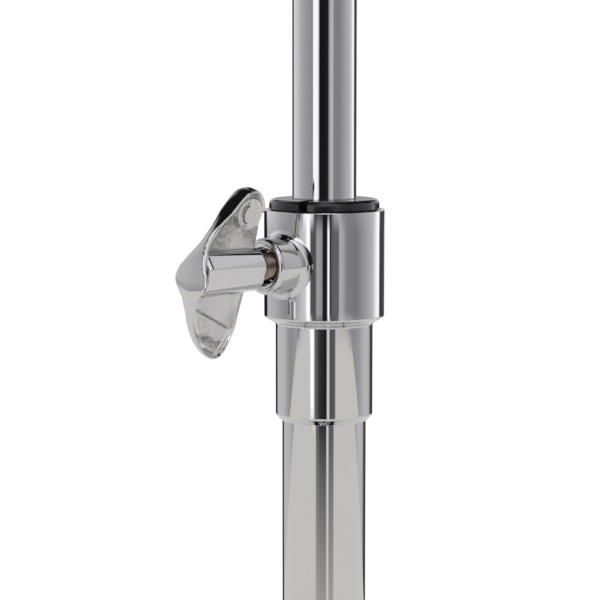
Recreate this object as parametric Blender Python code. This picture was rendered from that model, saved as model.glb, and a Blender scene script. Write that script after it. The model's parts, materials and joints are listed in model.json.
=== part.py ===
"""Snare drum stand: folding tripod, telescopic post with a height clamp, tilter and three-arm basket.

Metres, +Z up.  The feet rest on Z = 0 and the origin is the middle of the stand's box on the floor.
The post stands a little towards -Y, because one of the three legs points along +Y.
"""
import math

import bmesh
import bpy
from mathutils import Matrix, Vector

MM = 0.001

# Clearances
PRESS_GAP = 0.10 * MM
RUN_GAP = 0.30 * MM
PIN_GAP = 0.25 * MM
CHEEK_GAP = 0.40 * MM
GUIDE_GAP = 0.15 * MM

# Broken edges: on drawn tube and turned work, on castings, and on thin parts of castings
EDGE = 0.5 * MM
CAST_BEVEL = 1.2 * MM
RIM_BEVEL = 1.0 * MM

# Lower tube
LOWER_TUBE_R = 12.5 * MM
LOWER_TUBE_WALL = 1.5 * MM
TUBE_FOOT_BELOW_HUB = 13.0 * MM
CAP_DISC_H = 3.0 * MM
CAP_PLUG_H = 9.0 * MM

# Upper tube
UPPER_TUBE_R = 9.5 * MM
UPPER_TUBE_WALL = 1.5 * MM
UPPER_TUBE_BELOW = 175.0 * MM
UPPER_TUBE_BARE = 68.0 * MM
GLIDE_H = 6.0 * MM
GLIDE_PLUG_H = 10.0 * MM

# Height clamp on the lower tube's top
CLAMP_TOP_Z = 318.0 * MM
COLLAR_R = 17.8 * MM
COLLAR_H = 31.6 * MM
COLLAR_BORE_WALL = 3.6 * MM
UNDERSIDE_DROP = 2.1 * MM
SLEEVE_R = 14.4 * MM
SLEEVE_H = 27.2 * MM
SLEEVE_CHAMFER = 1.8 * MM
BOSS_AZIMUTH = math.radians(225.0)
BOSS_DROP = 15.4 * MM
BOSS_R = 8.2 * MM
BOSS_FILLET_R = 10.0 * MM
BOSS_REACH = 24.5 * MM
BOSS_FILLET_L = 1.5 * MM
BOSS_ROUND = 1.4 * MM
BOSS_MOUTH_R = 5.4 * MM
SLOT_AZIMUTH = math.radians(238.0)
SLOT_WIDTH = 2.2 * MM
SLOT_H = 6.0 * MM
SLOT_DEPTH = 2.0 * MM
SLOT_ABOVE_EDGE = 0.5 * MM

# Split nylon bush
BUSH_FLANGE_R = 16.3 * MM
BUSH_FLANGE_H = 3.0 * MM
BUSH_FLANGE_ROUND = 1.3 * MM
BUSH_SLIT = 2.2 * MM
BUSH_SLIT_AZIMUTH = math.radians(247.0)

# Wing screws
SHANK_R = 4.0 * MM
SHANK_IN_HANDLE = 17.0 * MM
HANDLE_GAP = 3.0 * MM
HUB_FRONT_R = 6.1 * MM
HUB_BACK_R = 6.8 * MM
HUB_L = 24.6 * MM
DOME_L = 6.7 * MM
WING_TIP_H = 26.0 * MM
WING_TIP_ARC_R = 8.0 * MM
WING_TIP_X = 9.0 * MM
WING_FOOT_X = 2.4 * MM
WING_FLANK_X = 27.0 * MM
WING_WEB = 2.6 * MM
WING_RIM = 2.3 * MM
WING_RIM_HALF_AT_DOME = 5.0 * MM
WING_RIM_HALF_AT_TIP = 3.4 * MM
WING_BUTTON_R = 4.9 * MM
WING_BUTTON_X = 6.6 * MM
WING_BUTTON_H = 16.3 * MM
WING_ROOT_LIFT = 0.5 * MM
WING_LIP_T = 1.2 * MM
CLAMP_WING_TURN = math.radians(14.0)
SHOE_L = 2.6 * MM

# Tripod
LEG_AZIMUTHS = [math.radians(a) for a in (90.0, 210.0, 330.0)]
FOOT_REACH = 262.0 * MM
LEG_ANGLE = math.radians(62.0)
PIVOT_R = 25.0 * MM
BRACE_L = 90.0 * MM
LEG_END_H = 13.0 * MM
STRIP_W = 14.0 * MM
STRIP_T = 2.5 * MM
BRACE_T = 8.0 * MM
BRACE_H = 11.0 * MM
BRACE_WALL = 1.6 * MM
BRACE_OPEN_END = 9.0 * MM
PIN_R = 2.5 * MM
PIN_HEAD_R = 4.4 * MM
PIN_HEAD_H = 1.4 * MM
SPACER_R = 4.0 * MM
SPACER_FROM_FOOT = 62.0 * MM
FOOT_R = 13.0 * MM
FOOT_DISC_H = 4.5 * MM
FOOT_NECK_R = 9.5 * MM
FOOT_NECK_H = 15.0 * MM
FOOT_SOCKET_L = 30.0 * MM
FOOT_SOCKET_WALL = 2.8 * MM

# Fixed brace hub and sliding leg collar
HUB_R = 16.5 * MM
HUB_H = 20.0 * MM
EAR_T = 3.0 * MM
EAR_END_R = 6.0 * MM
LEG_COLLAR_R = 17.0 * MM
LEG_COLLAR_H = 26.0 * MM
LEG_BOSS_AZIMUTH = math.radians(270.0)
LEG_BOSS_R = 8.0 * MM
LEG_BOSS_REACH = 24.0 * MM
LUG_START_R = 8.0 * MM

# Tilter
SOCKET_R = 13.5 * MM
SOCKET_H = 22.0 * MM
SOCKET_ROOF = 4.0 * MM
NECK_INSET = 0.4 * MM
TILT_DISC_R = 15.5 * MM
TILT_DISC_T = 9.0 * MM
TILT_PIVOT_UP = 43.0 * MM
TILT_NECK_HALF = 9.0 * MM
TILT_NECK_TOP_HALF = 10.0 * MM
HEAD_BOSS_R = 9.5 * MM
HEAD_BOSS_TOP = 34.0 * MM
HEAD_BOSS_CLEAR = 1.0 * MM
STEM_FLOOR = 2.0 * MM
NUT_FLAT_R = 6.5 * MM
NUT_H = 6.0 * MM
SPACER_RING_R = 8.0 * MM
WING_CLEAR = 0.8 * MM

# Basket
STEM_R = 5.0 * MM
BASKET_PIVOT_R = 24.0 * MM
LINK_L = 36.0 * MM
ARM_ANGLE = math.radians(18.0)
ARM_ANGLE_FOLDED = math.radians(66.0)
ARM_ROD_R = 4.0 * MM
ARM_EYE_R = 6.0 * MM
ARM_EYE_HALF = 4.1 * MM
ARM_BEND_R = 12.0 * MM
ARM_UPRIGHT = 32.0 * MM
HOOP_R = 190.0 * MM
SPIDER_R = 11.0 * MM
SPIDER_H = 11.0 * MM
SPIDER_LUG_R = 5.5 * MM
LINK_WALL = 2.5 * MM
LINK_HALF_H = 5.5 * MM
LINK_PIN_R = 2.0 * MM
LINK_PIN_PROUD = 0.8 * MM
LINK_WEB_T = 2.0 * MM
LINK_WEB_FROM_SPIDER = 8.0 * MM
LINK_WEB_FROM_ARM = 17.0 * MM
YOKE_R = 12.5 * MM
YOKE_H = 13.0 * MM
BASKET_NUT_R = 17.0 * MM
BASKET_NUT_H = 12.0 * MM
BASKET_NUT_FLUTES = 10
GRIP_W = 18.0 * MM
GRIP_HALF = 7.0 * MM
GRIP_LEDGE = 17.0 * MM
GRIP_SEAT_UP = 9.0 * MM
GRIP_UNDER = 9.0 * MM
GRIP_TOP_UP = 38.0 * MM
GRIP_LIP = 3.0 * MM
GRIP_CORNER_R = 5.0 * MM

# Facets round each kind of piece
COLLAR_SIDES = 40
TUBE_SIDES = 30
CAST_SIDES = 24
ROD_SIDES = 16
PIN_SIDES = 8

# Places that follow from the sizes above
POST_Y = -FOOT_REACH / 4.0
LEG_L = (FOOT_REACH - PIVOT_R) / math.sin(LEG_ANGLE)
BRACE_PIVOT_Z = LEG_END_H + (LEG_L - 2.0 * BRACE_L) * math.cos(LEG_ANGLE)
LEG_PIVOT_Z = BRACE_PIVOT_Z + 2.0 * BRACE_L * math.cos(LEG_ANGLE)
TUBE_FOOT_Z = BRACE_PIVOT_Z - TUBE_FOOT_BELOW_HUB
COLLAR_BORE_R = COLLAR_R - COLLAR_BORE_WALL
SHOULDER_DROP = COLLAR_H + 0.4 * UNDERSIDE_DROP
TUBE_TOP_Z = CLAMP_TOP_Z - SHOULDER_DROP - RUN_GAP
CHEEK = BRACE_T / 2.0 + CHEEK_GAP
SOCKET_Z = CLAMP_TOP_Z + UPPER_TUBE_BARE
TILT_Z = SOCKET_Z + TILT_PIVOT_UP
ARM_CLEVIS_HALF = ARM_ROD_R + CHEEK_GAP
SPIDER_Z = (TILT_Z + HEAD_BOSS_TOP + HEAD_BOSS_CLEAR + BASKET_NUT_H + RUN_GAP + YOKE_H / 2.0
            + 2.0 * LINK_L * math.sin(ARM_ANGLE_FOLDED))
YOKE_Z = SPIDER_Z - 2.0 * LINK_L * math.sin(ARM_ANGLE)
ARM_END_R = HOOP_R + GRIP_HALF
ARM_L = (ARM_END_R - BASKET_PIVOT_R) / math.cos(ARM_ANGLE)
ARM_END_Z = YOKE_Z + ARM_L * math.sin(ARM_ANGLE)


def clear_scene():
    for obj in list(bpy.data.objects):
        bpy.data.objects.remove(obj, do_unlink=True)


FINISHES = {
    "chrome": ((0.80, 0.80, 0.82), 0.07, 1.0),
    "cast_chrome": ((0.74, 0.74, 0.76), 0.16, 1.0),
    "steel": ((0.50, 0.47, 0.44), 0.35, 1.0),
    "brass": ((0.72, 0.55, 0.28), 0.35, 1.0),
    "nylon": ((0.015, 0.015, 0.017), 0.35, 0.0),
    "rubber": ((0.02, 0.02, 0.02), 0.75, 0.0),
}


def finish_material(node, finish):
    colour, roughness, metallic = FINISHES[finish]
    material = bpy.data.materials.new(node + "_" + finish)
    material.use_nodes = True
    shader = material.node_tree.nodes["Principled BSDF"]
    shader.inputs["Base Color"].default_value = (*colour, 1.0)
    shader.inputs["Roughness"].default_value = roughness
    shader.inputs["Metallic"].default_value = metallic
    return material


def place(obj, parent, matrix):
    """Sets an object at a place in the world and ties it to its parent without moving it."""
    bpy.context.collection.objects.link(obj)
    if parent:
        obj.parent = parent
        obj.matrix_parent_inverse = parent.matrix_basis.inverted()
    obj.matrix_basis = matrix


def pivot(name, parent, matrix):
    empty = bpy.data.objects.new(name, None)
    empty.empty_display_size = 0.01
    place(empty, parent, matrix)
    return empty


def piece(name, shape, finish, parent, matrix):
    """Makes one named piece from a bmesh."""
    bmesh.ops.recalc_face_normals(shape, faces=shape.faces)
    mesh = bpy.data.meshes.new(name)
    shape.to_mesh(mesh)
    shape.free()
    mesh.shade_smooth()
    mesh.set_sharp_from_angle(angle=math.radians(32.0))
    mesh.materials.append(finish_material(name, finish))
    obj = bpy.data.objects.new(name, mesh)
    place(obj, parent, matrix)
    return obj


def combine(obj, shape, operation):
    """Joins or cuts a second form, given in the piece's own coordinates."""
    bmesh.ops.recalc_face_normals(shape, faces=shape.faces)
    mesh = bpy.data.meshes.new(obj.name + "_form")
    shape.to_mesh(mesh)
    shape.free()
    tool = bpy.data.objects.new(obj.name + "_form", mesh)
    place(tool, obj.parent, obj.matrix_basis.copy())
    tool.hide_render = True
    tool.display_type = "WIRE"
    modifier = obj.modifiers.new(operation.lower(), "BOOLEAN")
    modifier.operation = operation
    modifier.solver = "EXACT"
    modifier.object = tool


def join(obj, shape):
    combine(obj, shape, "UNION")


def cut(obj, shape):
    combine(obj, shape, "DIFFERENCE")


def arc(cx, cz, radius, start, end, steps):
    """Points of an arc, angles in degrees."""
    points = []
    for i in range(steps + 1):
        a = math.radians(start + (end - start) * i / steps)
        points.append((cx + radius * math.cos(a), cz + radius * math.sin(a)))
    return points


def bezier(p0, p1, p2, p3, steps):
    points = []
    for i in range(steps + 1):
        t = i / steps
        s = 1.0 - t
        w = (s ** 3, 3 * s * s * t, 3 * s * t * t, t ** 3)
        points.append(tuple(sum(k * p[j] for k, p in zip(w, (p0, p1, p2, p3))) for j in range(2)))
    return points


def turned(profile, segments, closed=False):
    """Spins an (r, z) profile about Z.  A closed profile is a ring with a bore."""
    shape = bmesh.new()
    verts = [shape.verts.new((r, 0.0, z)) for r, z in profile]
    edges = [shape.edges.new(pair) for pair in zip(verts, verts[1:])]
    if closed:
        edges.append(shape.edges.new((verts[-1], verts[0])))
    bmesh.ops.spin(shape, geom=verts + edges, cent=(0, 0, 0), axis=(0, 0, 1), dvec=(0, 0, 0),
                   angle=2.0 * math.pi, steps=segments, use_merge=True, use_duplicate=False)
    bmesh.ops.remove_doubles(shape, verts=shape.verts, dist=1e-6)
    return shape


def rod(radius, z0, z1, segments=ROD_SIDES):
    return turned([(0.0, z0), (radius, z0), (radius, z1), (0.0, z1)], segments)


def ring(inner, outer, z0, z1, segments=TUBE_SIDES):
    return turned([(inner, z0), (outer, z0), (outer, z1), (inner, z1)], segments, closed=True)


def plate(outline, y0, y1):
    """Extrudes an outline drawn in XZ from y0 to y1."""
    shape = bmesh.new()
    face = shape.faces.new([shape.verts.new((x, y0, z)) for x, z in outline])
    grown = bmesh.ops.extrude_face_region(shape, geom=[face])
    moved = [v for v in grown["geom"] if isinstance(v, bmesh.types.BMVert)]
    bmesh.ops.translate(shape, verts=moved, vec=(0.0, y1 - y0, 0.0))
    return shape


def merged(shapes):
    """Several separate closed forms in one bmesh."""
    total = bmesh.new()
    for shape in shapes:
        mesh = bpy.data.meshes.new("part")
        shape.to_mesh(mesh)
        shape.free()
        total.from_mesh(mesh)
        bpy.data.meshes.remove(mesh)
    return total


def moved(shape, matrix):
    shape.transform(matrix)
    return shape


def swept(path, sections):
    """Sweeps one section a station along a path in XZ; a section lists (inward, y) pairs."""
    shape = bmesh.new()
    rings = []
    for i, (x, z) in enumerate(path):
        before = path[max(i - 1, 0)]
        after = path[min(i + 1, len(path) - 1)]
        along = Vector((after[0] - before[0], after[1] - before[1])).normalized()
        inward = Vector((-along[1], along[0]))
        rings.append([shape.verts.new((x + inward[0] * n, y, z + inward[1] * n)) for n, y in sections[i]])
    count = len(sections[0])
    for low, high in zip(rings, rings[1:]):
        for k in range(count):
            shape.faces.new((low[k], low[(k + 1) % count], high[(k + 1) % count], high[k]))
    shape.faces.new(rings[0][::-1])
    shape.faces.new(rings[-1])
    return shape


def disc_section(radius, sides=8):
    return [(radius * math.cos(2 * math.pi * k / sides), radius * math.sin(2 * math.pi * k / sides))
            for k in range(sides)]


def round_bar(length, end_r, steps=5):
    """Outline of a flat bar with round ends, from its first hole at the origin along +X."""
    return arc(0.0, 0.0, end_r, 90.0, 270.0, steps) + arc(length, 0.0, end_r, -90.0, 90.0, steps)


def lug_outline(start_x, pivot_x, end_r, steps=4):
    """Outline of a lug that starts inside its hub and ends round about its pin."""
    return [(start_x, -end_r)] + arc(pivot_x, 0.0, end_r, -90.0, 90.0, steps) + [(start_x, end_r)]


def about_z(angle):
    return Matrix.Rotation(angle, 4, "Z")


def at(x, y, z):
    return Matrix.Translation((x, y, z))


def lateral():
    """Turns a form made about Z so that it lies along Y."""
    return Matrix.Rotation(math.radians(-90.0), 4, "X")


def outward():
    """Turns a form made about Z so that it lies along X."""
    return Matrix.Rotation(math.radians(90.0), 4, "Y")


def post(z=0.0):
    return at(0.0, POST_Y, z)


def radial_frame(azimuth, r=0.0, z=0.0):
    """A frame on the post whose X points outwards at an azimuth."""
    return post() @ about_z(azimuth) @ at(r, 0.0, z)


def pin_shape(radius, half, head_r, head_h, segments=PIN_SIDES):
    """A rivet along Z with a low domed head at each end."""
    top = half + head_h
    crown_r = 0.6 * head_r
    lower = [(0.0, -top), (crown_r, -top), (head_r, -half), (radius, -half)]
    upper = [(radius, half), (head_r, half), (crown_r, top), (0.0, top)]
    return turned(lower + upper, segments)


def end_plug(disc_r, disc_h, plug_r, plug_h):
    """A disc that closes a tube's end at Z = 0, with a plug up inside the tube."""
    disc = [(0.0, -disc_h), (disc_r - EDGE, -disc_h), (disc_r, EDGE - disc_h), (disc_r, -RUN_GAP)]
    return turned(disc + [(plug_r, -RUN_GAP), (plug_r, plug_h), (0.0, plug_h)], CAST_SIDES)


# Post

def build_post(root):
    inner = LOWER_TUBE_R - LOWER_TUBE_WALL
    piece("lower_tube", ring(inner, LOWER_TUBE_R, TUBE_FOOT_Z, TUBE_TOP_Z), "chrome", root, post())
    plug_r = inner - PRESS_GAP
    piece("tube_end_cap", end_plug(LOWER_TUBE_R, CAP_DISC_H, plug_r, CAP_PLUG_H), "rubber", root,
          post(TUBE_FOOT_Z))


def build_clamp(root):
    frame = post(CLAMP_TOP_Z)
    edge_z = -COLLAR_H
    sleeve_z = edge_z - UNDERSIDE_DROP
    chamfer_z = sleeve_z - SLEEVE_H
    end_z = chamfer_z - SLEEVE_CHAMFER
    tube_bore = LOWER_TUBE_R + PRESS_GAP
    end_r = max(SLEEVE_R - SLEEVE_CHAMFER, tube_bore) + GUIDE_GAP
    outer = [(COLLAR_BORE_R, 0.0), (COLLAR_R - EDGE, 0.0), (COLLAR_R, -EDGE), (COLLAR_R, edge_z + EDGE),
             (COLLAR_R - EDGE, edge_z), (SLEEVE_R, sleeve_z), (SLEEVE_R, chamfer_z), (end_r, end_z),
             (tube_bore, end_z), (tube_bore, -SHOULDER_DROP), (COLLAR_BORE_R, -SHOULDER_DROP)]
    collar = piece("clamp_collar", turned(outer, COLLAR_SIDES, closed=True), "chrome", root, frame)

    start = COLLAR_BORE_R + 0.25 * COLLAR_BORE_WALL
    rim = arc(BOSS_R - BOSS_ROUND, BOSS_REACH - BOSS_ROUND, BOSS_ROUND, 0.0, 90.0, 2)
    boss = turned([(0.0, start), (BOSS_FILLET_R, start), (BOSS_R, COLLAR_R + BOSS_FILLET_L)] + rim
                  + [(0.0, BOSS_REACH)], CAST_SIDES)
    toward_boss = about_z(BOSS_AZIMUTH) @ at(0.0, 0.0, -BOSS_DROP) @ outward()
    join(collar, moved(boss, toward_boss))
    hole_r = SHANK_R + RUN_GAP
    mouth_z = BOSS_REACH - (BOSS_MOUTH_R - hole_r)
    outside = BOSS_REACH + MM
    hole = turned([(0.0, 0.5 * COLLAR_BORE_R), (hole_r, 0.5 * COLLAR_BORE_R), (hole_r, mouth_z),
                   (BOSS_MOUTH_R, BOSS_REACH), (BOSS_MOUTH_R, outside), (0.0, outside)], ROD_SIDES)
    cut(collar, moved(hole, toward_boss))

    half = SLOT_WIDTH / 2.0
    top = -COLLAR_H + SLOT_ABOVE_EDGE + SLOT_H
    slot_outline = [(-half, top - SLOT_H), (half, top - SLOT_H)] + arc(0.0, top - half, half, 0.0, 180.0, 6)
    slot = plate(slot_outline, COLLAR_R - SLOT_DEPTH, COLLAR_R + MM)
    cut(collar, moved(slot, about_z(SLOT_AZIMUTH - math.radians(90.0))))

    bush_r = COLLAR_BORE_R - PRESS_GAP
    bush_in = UPPER_TUBE_R + GUIDE_GAP
    low = -SHOULDER_DROP + RUN_GAP
    seat = RUN_GAP / 2.0
    flange_top = seat + BUSH_FLANGE_H
    shoulder = arc(BUSH_FLANGE_R - BUSH_FLANGE_ROUND, flange_top - BUSH_FLANGE_ROUND, BUSH_FLANGE_ROUND,
                   0.0, 90.0, 3)
    bush = turned([(bush_in, low), (bush_r, low), (bush_r, seat), (BUSH_FLANGE_R, seat)] + shoulder
                  + [(bush_in, flange_top)], TUBE_SIDES, closed=True)
    bush = piece("clamp_bush", bush, "nylon", root, frame)
    slit = plate([(0.5 * bush_in, low - MM), (BUSH_FLANGE_R + MM, low - MM),
                  (BUSH_FLANGE_R + MM, flange_top + MM), (0.5 * bush_in, flange_top + MM)],
                 -BUSH_SLIT / 2.0, BUSH_SLIT / 2.0)
    cut(bush, moved(slit, about_z(BUSH_SLIT_AZIMUTH)))

    shoe_start = COLLAR_BORE_R + PRESS_GAP
    boss_frame = radial_frame(BOSS_AZIMUTH, 0.0, CLAMP_TOP_Z - BOSS_DROP)
    piece("clamp_shoe", moved(rod(SHANK_R, shoe_start, shoe_start + SHOE_L), outward()), "brass",
          root, boss_frame)
    turn = Matrix.Rotation(-CLAMP_WING_TURN, 4, "X")
    screw_frame = boss_frame @ at(BOSS_REACH + HANDLE_GAP, 0.0, 0.0) @ turn
    tip = shoe_start + SHOE_L + RUN_GAP - BOSS_REACH - HANDLE_GAP
    wing_screw("clamp_wing", root, screw_frame, tip)


# Wing screw, made along +X from the handle's front face at the origin

def wing_flank():
    """The wing's outer edge in XZ, from the dome up to the tip and over it."""
    tip_z = WING_TIP_H - WING_TIP_ARC_R
    start_angle = 70.0
    tip = arc(WING_TIP_X, tip_z, WING_TIP_ARC_R, start_angle, 172.0, 4)
    lean = (math.sin(math.radians(start_angle)), -math.cos(math.radians(start_angle)))
    reach = 0.30 * WING_TIP_H
    low = (WING_FLANK_X, 0.19 * WING_TIP_H)
    flank = bezier(low, (low[0] - 0.10 * reach, low[1] + reach),
                   (tip[0][0] + lean[0] * reach, tip[0][1] + lean[1] * reach), tip[0], 5)
    return flank[:-1] + tip


def wing_forms(side):
    """Web, outer rim, inner rim and button of one wing; side -1 is the wing turned half round."""
    half_turn = Matrix.Rotation(0.0 if side > 0 else math.pi, 4, "X")
    edge = wing_flank()
    root_z = SHANK_R + PRESS_GAP + WING_ROOT_LIFT
    half_web = WING_WEB / 2.0
    inset = 0.5 * WING_RIM
    inner = []
    for i, (x, z) in enumerate(edge):
        before = edge[max(i - 1, 0)]
        after = edge[min(i + 1, len(edge) - 1)]
        along = Vector((after[0] - before[0], after[1] - before[1])).normalized()
        inner.append((x - along[1] * inset, z + along[0] * inset))
    web = plate([(WING_FOOT_X, root_z), (inner[0][0], root_z)] + inner, -half_web, half_web)

    sections = []
    last = len(edge) - 1
    for i in range(last + 1):
        t = i / last
        half = WING_RIM_HALF_AT_DOME + (WING_RIM_HALF_AT_TIP - WING_RIM_HALF_AT_DOME) * min(1.0, 2.2 * t)
        if t > 0.75:
            half += (half_web + 0.2 * MM - WING_RIM_HALF_AT_TIP) * (t - 0.75) / 0.25
        crown = 0.25 * WING_RIM
        sections.append([(crown, -half), (0.0, -0.5 * half), (0.0, 0.5 * half), (crown, half),
                         (WING_RIM, half), (WING_RIM, -half)])
    rim = swept(edge, sections)

    end = edge[-1]
    back = -0.85 * WING_RIM_HALF_AT_TIP
    lip = plate([(WING_FOOT_X, root_z), (WING_FOOT_X + WING_LIP_T, root_z),
                 (end[0] + WING_LIP_T, end[1] + WING_LIP_T), (end[0], end[1])], back, 0.0)

    disc = moved(rod(WING_BUTTON_R, 0.0, WING_RIM_HALF_AT_TIP, 12), lateral())
    button = moved(disc, at(WING_BUTTON_X, 0.0, WING_BUTTON_H))
    return [moved(form, half_turn) for form in (web, rim, lip, button)]


def wing_screw(name, parent, frame, tip_x):
    """Cast handle with two wings on a hub, and the threaded shank it is cast round."""
    turning = pivot(name + "_axis", parent, frame)
    bore_r = SHANK_R + PRESS_GAP
    bore_end = SHANK_IN_HANDLE + RUN_GAP
    dome = arc(0.0, 0.0, 1.0, 90.0, 0.0, 4)
    profile = [(0.0, bore_end), (bore_r, bore_end), (bore_r, 0.0), (HUB_FRONT_R - EDGE, 0.0),
               (HUB_FRONT_R, EDGE)]
    profile += [(HUB_BACK_R * c, HUB_L + DOME_L * s) for s, c in dome]
    hub = moved(turned(profile, ROD_SIDES), outward())
    handle = piece(name + "_handle", hub, "cast_chrome", turning, frame)
    upper = wing_forms(1)
    lower = wing_forms(-1)
    for one, other in zip(upper, lower):
        join(handle, merged([one, other]))
    shank = moved(rod(SHANK_R, tip_x, SHANK_IN_HANDLE), outward())
    piece(name + "_shank", shank, "steel", turning, frame)
    return turning


# Tripod

def leg_frames(azimuth):
    """World frames at a leg's three pivots; X outwards, Y along the pins."""
    lower = radial_frame(azimuth, PIVOT_R, BRACE_PIVOT_Z)
    upper = radial_frame(azimuth, PIVOT_R, LEG_PIVOT_Z)
    middle = radial_frame(azimuth, PIVOT_R + BRACE_L * math.sin(LEG_ANGLE),
                          BRACE_PIVOT_Z + BRACE_L * math.cos(LEG_ANGLE))
    return lower, middle, upper


def pitched(frame, angle):
    return frame @ Matrix.Rotation(angle, 4, "Y")


def across_pins(radius, half, positions):
    """Rods along Y at (x, z) places, for pin holes."""
    shapes = [moved(rod(radius, -half, half, PIN_SIDES), at(x, 0.0, z) @ lateral()) for x, z in positions]
    return merged(shapes)


def three_round(make):
    """Repeats a form at the three leg azimuths."""
    return merged([moved(make(), about_z(a)) for a in LEG_AZIMUTHS])


def cast_drum(radius, height, bevel=CAST_BEVEL):
    """A solid drum about Z with broken edges, centred on the origin."""
    half = height / 2.0
    return turned([(0.0, -half), (radius - bevel, -half), (radius, bevel - half), (radius, half - bevel),
                   (radius - bevel, half), (0.0, half)], CAST_SIDES)


def paired_ears(start, pivot_r, inside, thickness):
    """Two lugs either side of each radial plane, with a gap of twice inside between them."""
    outline = lug_outline(start, pivot_r, EAR_END_R)
    near = plate(outline, inside, inside + thickness)
    far = plate(outline, -inside - thickness, -inside)
    return merged([near, far])


def pin_holes(radius, half, pivot_r):
    return three_round(lambda: across_pins(radius, half, [(pivot_r, 0.0)]))


def build_brace_hub(root):
    hub = piece("brace_hub", cast_drum(HUB_R, HUB_H), "cast_chrome", root, post(BRACE_PIVOT_Z))
    join(hub, three_round(lambda: paired_ears(LUG_START_R, PIVOT_R, CHEEK, EAR_T)))
    cut(hub, rod(LOWER_TUBE_R + PRESS_GAP, -HUB_H, HUB_H, TUBE_SIDES))
    cut(hub, pin_holes(PIN_R + PIN_GAP, 2.0 * CHEEK + EAR_T, PIVOT_R))


def build_leg_collar(parent):
    body = cast_drum(LEG_COLLAR_R, LEG_COLLAR_H)
    collar = piece("leg_collar", body, "cast_chrome", parent, post(LEG_PIVOT_Z))
    lug = lug_outline(LUG_START_R, PIVOT_R, EAR_END_R)
    join(collar, three_round(lambda: plate(lug, -BRACE_T / 2.0, BRACE_T / 2.0)))
    toward = about_z(LEG_BOSS_AZIMUTH) @ outward()
    boss = turned([(0.0, LUG_START_R), (LEG_BOSS_R, LUG_START_R), (LEG_BOSS_R, LEG_BOSS_REACH - RIM_BEVEL),
                   (LEG_BOSS_R - RIM_BEVEL, LEG_BOSS_REACH), (0.0, LEG_BOSS_REACH)], ROD_SIDES)
    join(collar, moved(boss, toward))
    bore_r = LOWER_TUBE_R + RUN_GAP
    cut(collar, rod(bore_r, -LEG_COLLAR_H, LEG_COLLAR_H, TUBE_SIDES))
    cut(collar, pin_holes(PIN_R + PIN_GAP, BRACE_T, PIVOT_R))
    cut(collar, moved(rod(SHANK_R + RUN_GAP, 0.5 * bore_r, LEG_BOSS_REACH + MM), toward))
    screw_frame = radial_frame(LEG_BOSS_AZIMUTH, LEG_BOSS_REACH + HANDLE_GAP, LEG_PIVOT_Z)
    wing_screw("leg_collar_wing", parent, screw_frame, bore_r - LEG_BOSS_REACH - HANDLE_GAP)


def channel_form(length, over, web_start, web_end, roof, half):
    """What is cut from a bar along +X to leave two cheeks, and a web over part of its length."""
    outline = [(-over, -over), (length + over, -over), (length + over, over), (web_end, over),
               (web_end, roof), (web_start, roof), (web_start, over), (-over, over)]
    return plate(outline, -half, half)


def build_brace(number, parent, frame):
    """Channel pressed from sheet: two cheeks joined by a web along the upper side."""
    direction = pitched(frame, LEG_ANGLE - math.pi / 2.0)
    end_r = BRACE_H / 2.0
    brace = piece("brace_%d" % number, plate(round_bar(BRACE_L, end_r), -BRACE_T / 2.0, BRACE_T / 2.0),
                  "chrome", parent, direction)
    inner = BRACE_T / 2.0 - BRACE_WALL
    cut(brace, across_pins(PIN_R + PIN_GAP, BRACE_T, [(0.0, 0.0), (BRACE_L, 0.0)]))
    roof = end_r - BRACE_WALL
    cut(brace, channel_form(BRACE_L, BRACE_H, BRACE_OPEN_END, BRACE_L - BRACE_OPEN_END, roof, inner))


def build_foot(number, parent, azimuth):
    """Round rubber foot with a slanting socket for the two strips' ends."""
    foot_frame = radial_frame(azimuth, FOOT_REACH, 0.0)
    base = turned([(0.0, 0.0), (FOOT_R - RIM_BEVEL, 0.0), (FOOT_R, RIM_BEVEL), (FOOT_R, FOOT_DISC_H),
                   (FOOT_NECK_R, FOOT_NECK_H), (0.0, FOOT_NECK_H)], ROD_SIDES)
    foot = piece("leg_%d_foot" % number, base, "rubber", parent, foot_frame)
    lean = at(0.0, 0.0, LEG_END_H) @ Matrix.Rotation(math.pi / 2.0 - LEG_ANGLE, 4, "Y")
    end_r = STRIP_W / 2.0 + FOOT_SOCKET_WALL
    half = CHEEK + STRIP_T + FOOT_SOCKET_WALL
    join(foot, moved(plate(lug_outline(-FOOT_SOCKET_L, 0.0, end_r, 6), -half, half), lean))
    slot = lug_outline(-2.0 * FOOT_SOCKET_L, 0.0, STRIP_W / 2.0 + RUN_GAP, 6)
    inside = CHEEK - RUN_GAP
    outside = CHEEK + STRIP_T + RUN_GAP
    cut(foot, moved(merged([plate(slot, inside, outside), plate(slot, -outside, -inside)]), lean))


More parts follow.
